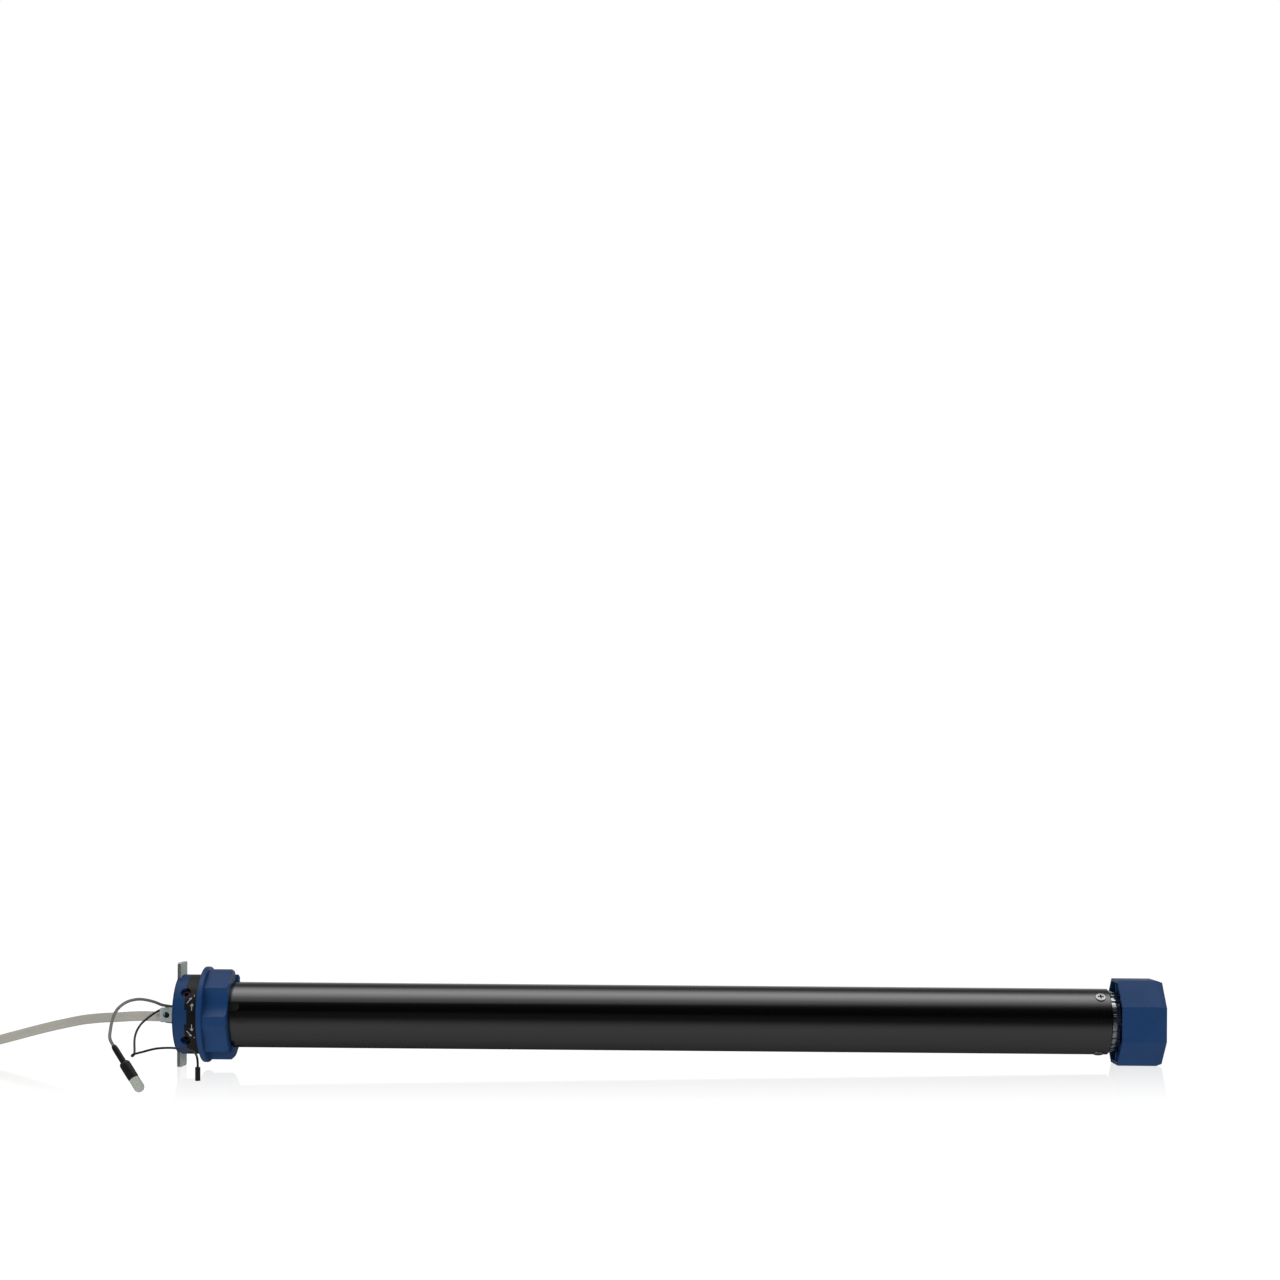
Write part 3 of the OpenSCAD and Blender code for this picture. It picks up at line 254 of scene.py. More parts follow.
def closed_tube(path, radii, sides):
    """A tube with its two ends closed by rings that shrink to a point."""
    rings = tube_along(path, radii, sides)
    first = path[0] + (rings[:1] - path[0]) * np.array([0, 0.85])[:, None, None]
    last = path[-1] + (rings[-1:] - path[-1]) * np.array([0.85, 0])[:, None, None]
    return np.concatenate([first, rings, last])


# %% [markdown]
# The mains cable is a round white PVC cable of 6.8 mm. It leaves the head between the bracket's ears,
# sinks to the floor behind the view's left edge, and the rest of its 2.3 m is wound into a neat coil of
# four layers, as it comes out of its carton. The coil is a spiral: the radius shrinks and grows again at
# a steady rate, and the cable climbs a layer in the half turn where it turns back.

# %% Mains cable
CABLE_D = 6.8
CABLE_Z = -1.8
NOSE_L = 10
COIL_CENTRE_X = -218
COIL_NEAR_Y = 64
COIL_R = 49
COIL_PITCH = CABLE_D + 0.6
COIL_TURNS = 2.125
COIL_LAYERS = 4

cable_exit = laid([-NOSE_L, 0, CABLE_Z])
cable_free = on_floor([
    [-25, 1.5, 34.5], [-34, 5, 34.1], [-43, 11, 33.2], [-52, 19, 32.2], [-61, 28, 31.2],
    [-70, 37, 29.9], [-80, 45, 28.3], [-91, 52, 26], [-104, 57, 23.1], [-119, 61, 19.4],
    [-135, 63, 15.2], [-152, 64, 10.9], [-171, 64, 6.9], [-190, 64, 4.2],
    [COIL_CENTRE_X + 2 * CABLE_D, COIL_NEAR_Y, CABLE_D / 2],
    [COIL_CENTRE_X + CABLE_D, COIL_NEAR_Y, CABLE_D / 2]])


def coil_points(turns):
    """Spiral: radius less pitch for each turn inwards, back out in the next layer, one pitch up per layer."""
    layer = np.floor(turns / COIL_TURNS)
    part = turns - layer * COIL_TURNS
    inward = np.where(layer % 2 == 0, part, COIL_TURNS - part)
    near = np.round(turns / COIL_TURNS)
    off = turns - near * COIL_TURNS
    climbing = (near >= 1) & (near < COIL_LAYERS) & (np.abs(off) < 0.25)
    climb = np.where(climbing, near - 0.5 + off / 0.5, layer)
    radius = COIL_R - COIL_PITCH * inward
    angle = 2 * np.pi * turns
    return np.stack([COIL_CENTRE_X - radius * np.sin(angle), COIL_NEAR_Y + COIL_R - radius * np.cos(angle),
                     CABLE_D / 2 + COIL_PITCH * climb], 1)


coil = coil_points(np.arange(0, COIL_TURNS * COIL_LAYERS - 0.5 + 1e-6, 1 / 24))
way_out = unit((coil[-1] - coil[-2]) * [1, 1, 0])
coil_end = on_floor(coil[-1] + CABLE_D * way_out)
cable_path = smooth_path(np.concatenate([
    [cable_exit, laid([-NOSE_L - CABLE_D, 0, CABLE_Z])], cable_free, on_floor(coil), [coil_end]]), 2.2 * MM)

mains_cord = make_piece("mains_cord", [closed_tube(cable_path, CABLE_D / 2 * MM, 20)], "motor_body",
                        "white_pvc", ("mains_cable", "mains_coil"))
print("mains cable", round(path_length(cable_path), 3), "m")

# %% [markdown]
# The cable's far end is stripped for the wiring: three cores, each with a crimped ferrule. A core is a
# thin tube that spreads a little from its neighbours; its ferrule is a flared collar and a plain metal
# sleeve.

# %% Stripped cores
CORE_D = 2.2
CORE_L = 28
FERRULE_L = 8
CORE_COLOURS = ("blue_core", "green_core", "brown_core")
core_side = np.cross(way_out, [0, 0, 1])
bare = CORE_L - FERRULE_L
# share of the bare length, distance to the side in millimetres
spread = np.array([[0, 0], [0.3, 0], [0.6, 0.4], [0.8, 0.9], [1, 1.1]])
for k, colour in enumerate(CORE_COLOURS):
    across = k - 1
    start = coil_end + (core_side * 2 * across + [0, 0, 0.9 if across == 0 else -0.9]) * MM
    way = bare * spread[:, :1] * way_out + across * spread[:, 1:] * core_side
    path = smooth_path(start + MM * way, MM)
    ahead = unit(path[-1] - path[-2])
    steps = np.array([-0.4, 0, 1.6, 1.9, 2.4, FERRULE_L - 0.3, FERRULE_L]) * MM
    radii = np.array([1.2, 1.35, 1.35, 0.95, 0.78, 0.78, 0.66]) * MM
    ferrule = closed_tube(path[-1] + steps[:, None] * ahead, radii, 16)
    for name, grid in (("mains_" + colour, closed_tube(path, CORE_D / 2 * MM, 14)),
                       ("ferrule_" + colour, ferrule)):
        make_piece(name, [grid], "motor_body", "core_pvc", ("mains_cores",))

# %% [markdown]
# Two thin leads leave the head beside the mains cable. The grey one rises in an arc and comes down to a
# sensor with a heat-shrink sleeve and a milky silicone dome that rests on the floor. The black one is the
# radio's aerial: it dips, turns in a tight loop and stands on its moulded tip.

# %% Sensor lead and aerial
GLAND_START = 3.0
LEAD_RUN = 3
LEAD_Z = 4.6
LEAD_Y = 1.7
LEAD_D = 2.0
AERIAL_D = 1.5
SENSOR_TOP = np.array([-8.6, -149.2, 28.45])
sensor_way = unit(np.array([17.5, -6.4, -25.05]))
SLEEVE_L = 12.65
BODY_L = 12.4
DOME_D = 6.6
DOME_L = 9.55
TIP_AT = np.array([31.8, -92, 0])
TIP_L = 9.0
TIP_D = 3.4

lead_exit = laid([GLAND_START, -LEAD_Y, LEAD_Z])
lead_path = smooth_path(np.concatenate([
    [lead_exit, laid([GLAND_START - LEAD_RUN, -LEAD_Y, LEAD_Z])], on_floor([
    [-3.3, -2.7, 41.1], [-6.2, -5.4, 41.8], [-8.4, -9, 42.5], [-10, -13.2, 43.4],
    [-11, -18, 44.6], [-11.8, -23.5, 45.9], [-13.1, -32, 47.5], [-14.3, -41, 48.9],
    [-15.3, -51, 50], [-16, -61.5, 50.6], [-16.4, -73, 50.8], [-16.4, -84, 50.6],
    [-15.8, -97, 50], [-15.1, -110, 48.8], [-14.7, -117.5, 47.5], [-14.2, -125.5, 45.3],
    [-13.3, -133.5, 42.4], [-12.6, -139, 39.7], [-12.1, -142.8, 37.1], [-11.6, -146.2, 34.4],
    [-10.7, -148.3, 31.8],
    SENSOR_TOP - 1.5 * sensor_way, SENSOR_TOP])]), MM)
sensor_cord = make_piece("sensor_cord", [closed_tube(lead_path, LEAD_D / 2 * MM, 16)], "motor_body",
                         "grey_pvc", ("sensor_lead",))

aerial_exit = laid([GLAND_START, LEAD_Y, LEAD_Z])
aerial_path = smooth_path(np.concatenate([
    [aerial_exit, laid([GLAND_START - LEAD_RUN, LEAD_Y, LEAD_Z])], on_floor([
    [-4, 1.4, 40.6], [-7.8, 0.6, 40.4], [-11, -0.9, 39.8], [-13.6, -3.2, 38.9],
    [-15.7, -7, 37.6], [-17.5, -11.5, 36], [-19.7, -18, 33.6], [-21, -23, 31.8],
    [-21.8, -27, 30], [-22.2, -33, 27.3], [-22.1, -38, 24.5], [-21.6, -42, 21.7],
    [-20.8, -45.5, 18.7], [-20, -48.5, 15.8], [-19.5, -51.5, 13.5], [-19.7, -54.5, 12.4],
    [-19.8, -57, 12.9], [-18.4, -58.6, 13.9], [-15, -58.8, 14.9], [-12.3, -58, 15.5],
    [-8.6, -57, 16.5], [-4, -56.7, 17.5], [1, -58.2, 18.1], [7.4, -62.5, 18.6],
    [13.8, -68.5, 18.8], [19.8, -75, 18.9], [24, -80.5, 18.8], [27.6, -85.3, 18.3],
    [30.1, -89, 16.8], [31.4, -91.3, 14.3],
    TIP_AT + [0, 0, TIP_L + 1.5 * AERIAL_D], TIP_AT + [0, 0, TIP_L]])]), 0.7 * MM)
aerial_cord = make_piece("aerial_cord", [closed_tube(aerial_path, AERIAL_D / 2 * MM, 14)], "motor_body",
                         "black_pvc", ("aerial_wire",))

# %% [markdown]
# What sits on the leads are straight bars with their own outlines: a shrunk sleeve that necks down at
# both ends, a thick sleeve with soft shoulders, a dome, and the aerial's tip. Each is a profile of
# distance and radius, eased at its corners by a quadratic curve, and carried round a straight path.

# %% Sleeves, dome and aerial tip


def eased(corners, reach, steps=5):
    """Rounds each corner of an open outline: a quadratic curve from reach before it to reach after it."""
    p = np.asarray(corners, float)
    before = p[:-2] - p[1:-1]
    after = p[2:] - p[1:-1]
    room = 0.48 * np.minimum(np.linalg.norm(before, axis=1), np.linalg.norm(after, axis=1))
    reach = np.minimum(np.broadcast_to(reach, len(room)), room)[:, None]
    a = p[1:-1] + unit(before) * reach
    c = p[1:-1] + unit(after) * reach
    t = np.linspace(0, 1, steps)[None, :, None]
    curve = (1 - t) ** 2 * a[:, None] + 2 * t * (1 - t) * p[1:-1, None] + t**2 * c[:, None]
    return np.concatenate([p[:1], curve.reshape(-1, 2), p[-1:]])


def turned_bar(start, way, outline, sides=32):
    """An outline of distance and radius in millimetres, turned round a straight line from start."""
    side = unit(np.cross(way, [0.1, 0.9, 0.2]))
    over = np.cross(way, side)
    turn = full_turn(sides)[None, :, None]
    circle = np.cos(turn) * side + np.sin(turn) * over
    return on_floor(start + outline[:, :1] * way)[:, None] + (outline[:, 1] * MM)[:, None, None] * circle


sleeve_outline = eased([[0, 0], [0, 1.3], [1.2, 1.75], [4, 1.9], [10, 1.9], [SLEEVE_L, 1.95],
                        [SLEEVE_L, 0]], 0.5)
body_outline = eased([[0, 0], [0, 2.7], [1.3, 3.4], [6, 3.45], [BODY_L - 0.6, 3.4], [BODY_L, 3.2],
                      [BODY_L, 0]], 0.7)
dome_turn = np.radians(np.linspace(0, 90, 14))
dome_round = np.stack([DOME_L - DOME_D / 2 * (1 - np.sin(dome_turn)), DOME_D / 2 * np.cos(dome_turn)], 1)
dome_outline = np.concatenate([[[0, 0], [0, DOME_D / 2 - 0.05]], dome_round])
tip_outline = eased([[0, 0], [0, TIP_D / 2], [TIP_L, TIP_D / 2], [TIP_L, 0]], 0.45)

body_top = SENSOR_TOP + SLEEVE_L * sensor_way
dome_top = body_top + BODY_L * sensor_way
straight_up = np.array([0.0, 0.0, 1.0])
bars = (("sensor_neck", SENSOR_TOP, sensor_way, sleeve_outline, "black_shrink", "sensor_sleeve", 50),
        ("sensor_case", body_top, sensor_way, body_outline, "black_shrink", "sensor_body", 50),
        ("sensor_lens", dome_top, sensor_way, dome_outline, "clear_silicone", "sensor_dome", 60),
        ("aerial_cap", TIP_AT, straight_up, tip_outline, "black_shrink", "aerial_tip", 50))
*sensor_parts, aerial_tip = [
    make_piece(name, [turned_bar(start, way, outline)], "motor_body", slot, (node,), crease)
    for name, start, way, outline, slot, node, crease in bars]

print("sensor lead", round(path_length(lead_path), 4), "m, aerial", round(path_length(aerial_path), 4), "m")

# %% [markdown]
# The drive wheel is one moulded part: an octagon 58 mm across its flats, hollow on the tube's side, with
# a hub, eight ribs and a chamfered end. Its outline is an octagon whose corners are arcs, with the same
# number of points in every ring, so the whole skin is one closed loft, from the shaft's bore out over the
# hollow, round the rim, along the outside, over the end and back into the bore.

# %% Drive wheel
WHEEL_START = 642.0
WHEEL_END = 672.2
WHEEL_FLAT = 29.0
WHEEL_CHAMFER = (4.0, 1.4)
WHEEL_WALL = 2.2
WHEEL_FLOOR = WHEEL_START + 22
WHEEL_HUB_START = 644.1
WHEEL_HUB_R = 11.0
WHEEL_RECESS_R = 9.0
WHEEL_RECESS_X = 668.1
SHAFT_R = 6.1
SHAFT_FLAT = 5.1
FLAT_POINTS = 9
ARC_POINTS = 7


def turned_copies(points, angles):
    """Copies of (y, z) points, one turned by each angle: the rotation formula on whole arrays."""
    c, s = np.cos(angles)[:, None], np.sin(angles)[:, None]
    return np.stack([points[:, 0] * c - points[:, 1] * s, points[:, 0] * s + points[:, 1] * c], -1)


def octagon(flat, corner):
    """Octagon with its flats at flat from the middle and corners rounded to that radius, as (y, z) points."""
    half = math.pi / 8
    run = (flat - corner) * math.tan(half)
    side = np.stack([np.full(FLAT_POINTS, flat), np.linspace(-run, run, FLAT_POINTS)], 1)
    turn = np.linspace(0, 2 * half, ARC_POINTS + 2)[1:-1]
    arc = np.stack([flat - corner + corner * np.cos(turn), run + corner * np.sin(turn)], 1)
    return turned_copies(np.concatenate([side, arc]), np.arange(8) * 2 * half).reshape(-1, 2)


# directions of the octagon's points, as (y, z)
WHEEL_RAYS = unit(octagon(WHEEL_FLAT, 0.8))


def circle(radius):
    """Circle with a point at each of the octagon's angles."""
    return radius * WHEEL_RAYS


def shaft_bore():
    """The shaft's outline: a circle with two flats, so the radius is the smaller of the two formulas."""
    radius = np.minimum(SHAFT_R, SHAFT_FLAT / np.maximum(np.abs(WHEEL_RAYS[:, :1]), 1e-6))
    return radius * WHEEL_RAYS


def ring_at(x, outline):
    """One ring of the loft: the outline's (y, z) at that place along the axis."""
    return np.concatenate([np.full((len(outline), 1), x), outline], 1)


def wheel_rings():
    """The wheel's closed profile, from the bore's tube end round the outside and back."""
    inner = WHEEL_FLAT - WHEEL_WALL
    length, depth = WHEEL_CHAMFER
    shoulder = WHEEL_END - length
    rings = [(WHEEL_HUB_START, shaft_bore()), (WHEEL_HUB_START, circle(WHEEL_HUB_R - 0.4)),
             (WHEEL_HUB_START + 0.4, circle(WHEEL_HUB_R)), (WHEEL_FLOOR - 1, circle(WHEEL_HUB_R + 0.1)),
             (WHEEL_FLOOR, circle(WHEEL_HUB_R + 1)), (WHEEL_FLOOR, octagon(inner - 1, 0.6)),
             (WHEEL_FLOOR - 1, octagon(inner, 0.6)), (WHEEL_START + 0.3, octagon(inner, 0.6)),
             (WHEEL_START, octagon(inner + 0.3, 0.7)), (WHEEL_START, octagon(WHEEL_FLAT - 0.45, 0.8)),
             (WHEEL_START + 0.13, octagon(WHEEL_FLAT - 0.13, 0.8)),
             (WHEEL_START + 0.45, octagon(WHEEL_FLAT, 0.8))]
    soft = 0.5
    for t in np.linspace(-1, 1, 5):
        x = shoulder + soft * t
        inset = depth / length * soft * (t + 1) ** 2 / 4
        rings.append((x, octagon(WHEEL_FLAT - inset, 0.8)))
    for t in np.linspace(0, 1, 5):
        x = WHEEL_END - 0.6 * (1 - t) ** 2
        inset = depth * (1 - 0.6 / length) + 0.2 * t + 0.55 * t**2
        rings.append((x, octagon(WHEEL_FLAT - inset, 0.9)))
    rings += [(WHEEL_END, circle(WHEEL_RECESS_R + 0.3)), (WHEEL_END - 0.3, circle(WHEEL_RECESS_R)),
              (WHEEL_RECESS_X, circle(WHEEL_RECESS_R)), (WHEEL_RECESS_X, shaft_bore())]
    return np.stack([ring_at(x, outline) for x, outline in rings])


make_piece("wheel_moulding", [laid(wheel_rings())], "output", "blue_abs", ("drive_wheel",),
           crease=28, closed=True)

# %% [markdown]
# The ribs stand between the wheel's hub and its wall. Plates with sharp edges look like toys, so each one
# is a rounded bar: a rectangle whose corners are eased, drawn out along the axis. One function makes the
# ring of a rounded rectangle, and the same function later makes the crown's lugs.

# %% Ribs inside the wheel
RIB_T = 1.6
OUTER_RIB_R = 20.2
ALMOST_NOTHING = 1e-3


def rounded_rectangle(width, height, corner, steps=4):
    """Outline with (width, height) about the middle: four arcs of that corner radius, joined by straights."""
    turn = np.linspace(0, math.pi / 2, steps)
    arc = corner * np.stack([np.cos(turn), np.sin(turn)], 1)
    turned = turned_copies(arc, np.arange(4) * math.pi / 2)
    middle = np.array([[1, 1], [-1, 1], [-1, -1], [1, -1]]) * [width / 2 - corner, height / 2 - corner]
    return (turned + middle[:, None]).reshape(-1, 2)


def rounded_block(low, high, corner):
    """A box from low to high with rounded edges: rings of a rounded rectangle that swell and shrink."""
    low, high = np.asarray(low, float), np.asarray(high, float)
    size = high - low
    turn = np.linspace(0, math.pi / 2, 4)
    grow = corner * (1 - np.cos(turn))
    x = np.concatenate([[0], grow, size[0] - grow[::-1], [size[0]]])
    shut = [min(size[1:]) / 2 - ALMOST_NOTHING]
    inset = np.concatenate([shut, corner * (1 - np.sin(turn)), corner * (1 - np.sin(turn[::-1])), shut])
    middle = (low + high)[1:] / 2
    outlines = [rounded_rectangle(*(size[1:] - 2 * b), max(corner - b, ALMOST_NOTHING)) for b in inset]
    return np.stack([ring_at(low[0] + a, middle + outline) for a, outline in zip(x, outlines)])


def turned_round(points, angle):
    """Turns points about the motor's axis by an angle in degrees, from Y towards Z."""
    c, s = math.cos(math.radians(angle)), math.sin(math.radians(angle))
    x, y, z = np.moveaxis(points, -1, 0)
    return np.stack([x, y * c - z * s, y * s + z * c], -1)


inner_rib = rounded_block([WHEEL_HUB_START + 1, WHEEL_HUB_R - 0.6, -RIB_T / 2],
                          [WHEEL_FLOOR + 0.4, WHEEL_FLAT - WHEEL_WALL + 0.5, RIB_T / 2], 0.3)
outer_rib = rounded_block([WHEEL_START + 0.8, OUTER_RIB_R, -RIB_T / 2 + 0.03],
                          [WHEEL_FLOOR + 0.4, WHEEL_FLAT - WHEEL_WALL + 0.5, RIB_T / 2 - 0.03], 0.3)
make_piece("wheel_ribs",
           [laid(turned_round(rib, 45 * k)) for k in range(8) for rib in (inner_rib, outer_rib)],
           "output", "blue_abs", ("drive_wheel",))

# %% [markdown]
# The crown is the blue idler at the head. It runs on the tube, turns with the blind's tube and tells the
# limit switches how far it has gone, through sixty teeth inside its flange. Its body is an octagon: every
# second corner is cut to a narrow flat, and a scoop follows each sharp one. In polar form that outline is
# a minimum of planes: each flat is a distance divided by the cosine from its own direction, and a scoop
# is where a ray meets a circle. A power of inverse distances rounds that minimum like a moulded edge.

# %% Crown
CROWN_START = 17.3
CROWN_END = 37.3
CROWN_BORE = 22.6
CROWN_FLANGE_R = 32.9
CROWN_FLANGE_T = 3.7
CROWN_CORNER_R = 31.2
CROWN_TURN = 140
CROWN_GEAR_END = 21.4
CROWN_CONE = 1.6
NARROW_HALF = 6.0
WIDE_HALF = 19.5
SCOOP_R = 17
SCOOP_AT = 26 + SCOOP_R
TEETH = 60
TOOTH_TIP = 23.2
TOOTH_ROOT = 24.84
TOOTH_FLANK = 1.9
CROWN_COLS = 960
CORNER_POWER = 260
# places of the cone's rings, measured back from the crown's end
CONE_RINGS = (3.2, 2.6, 2.3, 2.0, 1.7, 1.2, 0.7, 0.35, 0.15)
LUG_TURN = 108
crown_turn = full_turn(CROWN_COLS)


def soft_minimum(radii, power):
    """Smallest of several radii at each angle, with its corners rounded: the power mean of their inverses."""
    radii = np.stack(radii)
    low = radii.min(0)
    return low * np.sum((radii / low) ** -float(power), 0) ** (-1 / power)


def crown_outline():
    """Radius at each angle: four quarters, each with two wide flats, a narrow one between and a scoop."""
    radii = []
    for quarter in range(4):
        for middle, half in ((WIDE_HALF, WIDE_HALF), (45, NARROW_HALF), (90 - WIDE_HALF, WIDE_HALF)):
            facing = np.cos(crown_turn - math.radians(90 * quarter + middle))
            distance = CROWN_CORNER_R * math.cos(math.radians(half))
            radii.append(distance / np.maximum(facing, 0.01))
        off = SCOOP_AT * np.sin(crown_turn - math.radians(90 * quarter + WIDE_HALF))
        ahead = SCOOP_AT * np.cos(crown_turn - math.radians(90 * quarter + WIDE_HALF))
        near = ahead - np.sqrt(np.maximum(SCOOP_R**2 - off**2, 0))
        radii.append(np.where((np.abs(off) < SCOOP_R) & (ahead > 0), near, 99.0))
    return soft_minimum(radii, CORNER_POWER)


def crown_teeth():
    """Sixty inner teeth: a steep wave between the tip and root radii, flat at both."""
    wave = np.clip(TOOTH_FLANK * np.cos(TEETH * (crown_turn - math.radians(CROWN_TURN))), -1, 1)
    return (TOOTH_TIP + TOOTH_ROOT) / 2 + (TOOTH_ROOT - TOOTH_TIP) / 2 * wave


def crown_rings():
    """The crown's closed profile as pairs of a place along the axis and a radius at every angle."""
    body = crown_outline()
    even = np.ones(CROWN_COLS)
    flange_end = CROWN_START + CROWN_FLANGE_T
    rim = [[CROWN_START, CROWN_BORE + 5], [CROWN_START, CROWN_FLANGE_R], [flange_end, CROWN_FLANGE_R],
           [flange_end, CROWN_BORE + 5]]
    rim = eased(rim, 1.1, 8)
    rim = rim[(rim[:, 0] < flange_end - 1e-6) | (rim[:, 1] > CROWN_CORNER_R + 0.25)]
    rings = [(CROWN_START, crown_teeth())]
    rings += [(x, r * even) for x, r in rim[1:]]
    rings += [(flange_end, body + 0.25), (flange_end + 0.12, body - 0.05), (flange_end + 0.5, body)]
    for left in CONE_RINGS:
        cone = (CROWN_CORNER_R - CROWN_CONE + left) * even
        rings.append((CROWN_END - left, soft_minimum([body, cone], CORNER_POWER)))
    rings += [(CROWN_END - 0.04, rings[-1][1] - 0.1), (CROWN_END, rings[-1][1] - 0.3)]
    rings += [(CROWN_END, (CROWN_BORE + 0.3) * even), (CROWN_END - 0.3, CROWN_BORE * even),
              (CROWN_GEAR_END, CROWN_BORE * even), (CROWN_GEAR_END, crown_teeth())]
    x = np.array([a for a, _ in rings])[:, None] * even
    r = np.stack([b for _, b in rings])
    return np.stack([x, r * np.cos(crown_turn), r * np.sin(crown_turn)], -1)


make_piece("crown_moulding", [laid(turned_round(crown_rings(), CROWN_TURN))], "crown_body",
           "blue_pom", ("crown",), crease=26, closed=True)
lug = rounded_block([CROWN_END - 2.5, 22.8, -3], [CROWN_END + 1.5, 28.2, 3], 0.7)
make_piece("crown_lugs", [laid(turned_round(lug, CROWN_TURN + LUG_TURN + 180 * k)) for k in (0, 1)],
           "crown_body", "blue_pom", ("crown",))

# %% [markdown]
# Stamped and moulded parts have no knife edges. The CAD shapes of the head, the bracket and the hub are
# right, so they are copied, their doubles merged and their flat triangles joined, and a small Bevel on
# every edge sharper than 35 degrees catches the light as a real edge does. Short ribs stand round the
# hub, so the gap between the tube and the wheel shows bright and dark streaks.

# %% Eased copies of CAD shapes
HUB_R = 19.6
HUB_RIBS = 22
CAD_SAME_POINT = 2e-6


def softened(node, name, body, slot, width, segments=2):
    """A copy of a CAD node with its sharp edges rounded by width millimetres."""
    mesh = NODES[node].data.copy()
    work = bmesh.new()
    work.from_mesh(mesh)
    bmesh.ops.remove_doubles(work, verts=work.verts, dist=CAD_SAME_POINT)
    bmesh.ops.dissolve_limit(work, angle_limit=math.radians(0.6), verts=work.verts, edges=work.edges)
    work.to_mesh(mesh)
    work.free()
    mesh.materials.clear()
    bevel = dress(name, mesh, body, slot, (node,), 32).modifiers.new("eased edges", "BEVEL")
    bevel.width = width * MM
    bevel.segments = segments
    bevel.limit_method = "ANGLE"
    bevel.angle_limit = math.radians(35)
    bevel.use_clamp_overlap = False
    bevel.harden_normals = True


softened("mounting_plate", "bracket_plate", "motor_body", "galvanised_steel", 0.25, 3)
softened("head_cap", "head_cover", "motor_body", "blue_abs", 0.22, 3)
softened("output_hub", "hub_casting", "output", "cast_zinc", 0.15)
softened("cable_gland", "cable_outlet", "motor_body", "black_rubber", 0.2)
softened("head_body", "head_ring", "motor_body", "black_pa", 0.12)
hub_rib = rounded_block([637.6, HUB_R - 0.8, -0.75], [642.4, HUB_R + 1.0, 0.75], 0.3)
make_piece("hub_ribs", [laid(turned_round(hub_rib, 360 / HUB_RIBS * k)) for k in range(HUB_RIBS)], "output",
           "cast_zinc", ("output_hub",))

# %% [markdown]
# The three screws near the tube's open end have pressed heads with a cross recess. A head is a round
# grid: the height over the tube falls from the middle to the rim as a cap of a ball does, less the
# recess, whose depth is full inside two crossing slots and fades over a fraction of a millimetre at their
# walls.

# %% Screw heads
SCREW_X = 630.0
SCREW_ANGLE = 51
SCREW_R = 3.55
SCREW_HEIGHT = 0.9
SCREW_CROSS = (3.9, 1.0)
SCREW_EDGE = 0.25
SCREW_END_R = 12.5
SCREW_SHANK_R = 2.0
RECESS_DEPTH = 1.5
RECESS_WALL = 0.14
TUBE_R = 22.5


def screw_head():
    """Rings from the middle of the head out to its rim and down into the tube, as (across, across, out)."""
    turn = full_turn(96)[None]
    face_r = SCREW_R - SCREW_EDGE
    r = np.concatenate([np.linspace(0, face_r, 44), face_r + SCREW_EDGE * np.sin(np.linspace(0.3, 1.57, 4))])
    a, b = r[:, None] * np.cos(turn), r[:, None] * np.sin(turn)
    length, width = SCREW_CROSS
    arm = np.maximum(np.minimum(length / 2 - np.abs(a), width / 2 - np.abs(b)),
                     np.minimum(length / 2 - np.abs(b), width / 2 - np.abs(a)))
    recess = RECESS_DEPTH * np.clip(arm / RECESS_WALL + 0.4, 0, 1)
    fall = 0.34 * (r / SCREW_R) ** 2 + 0.3 * np.clip((r - face_r) / SCREW_EDGE, 0, 1) ** 2
    dome = SCREW_HEIGHT * (1 - fall)
    head = np.stack([a, b, TUBE_R + dome[:, None] - recess], -1)
    rim = head[-1].copy()
    rim[:, 2] = TUBE_R - 0.5
    shank = rim * [SCREW_SHANK_R / SCREW_R, SCREW_SHANK_R / SCREW_R, 1]
    end = shank.copy()
    end[:, 2] = SCREW_END_R
    tip = end * [0, 0, 1]
    return np.concatenate([head, [rim, shank, end, tip]])


def pointing(grid, x, angle):
    """Places a grid of (across, across, out): out leaves the axis that many degrees above the front."""
    a, b, out = np.moveaxis(grid, -1, 0)
    c, s = math.cos(math.radians(angle)), math.sin(math.radians(angle))
    return laid(np.stack([x + a, -out * c - b * s, out * s - b * c], -1))


make_piece("tube_end_screws", [pointing(screw_head(), SCREW_X, SCREW_ANGLE + 120 * k) for k in range(3)],
           "motor_body", "bright_zinc_screw", ("tube_screws",), crease=40)

# %% [markdown]
# The black ring carries small white marks in pad print, which say which adjuster sets which end and which
# way to turn it. A mark is a ribbon along a few points, laid on the ring's round surface: the first
# number runs along the motor, the second round it. Arrowheads are ribbons that narrow to a point.

# %% Printed marks
RING_R = 27.3
PRINT_T = 0.05
ARROW_SHAFT_W = 0.5
ARROW_HEAD_W = 2.5


def ribbon(points, widths):
    """A flat ribbon on the ring: points and widths in millimetres, along the motor and round it."""
    p = np.asarray(points, float)
    steps = max(3, 4 * (len(p) - 1))
    at = np.linspace(0, len(p) - 1, steps)
    line = np.stack([np.interp(at, np.arange(len(p)), p[:, k]) for k in (0, 1)], 1)
    width = np.interp(at, np.arange(len(p)), np.broadcast_to(widths, len(p)))
    ahead = unit(np.gradient(line, axis=0))
    across = np.stack([-ahead[:, 1], ahead[:, 0]], 1) * width[:, None] / 2
    rows = []
    for sign, lift in ((-1, -0.1), (-1, PRINT_T), (1, PRINT_T), (1, -0.1)):
        flat = line + sign * across
        angle = flat[:, 1] / RING_R
        radius = RING_R + lift
        rows.append(np.stack([flat[:, 0], -radius * np.cos(angle), radius * np.sin(angle)], 1))
    loop = np.stack(rows, 1)
    first, last = (loop[k:][:1].mean(1, keepdims=True).repeat(4, 1) for k in (0, -1))
    return laid(np.concatenate([first, loop, last]))


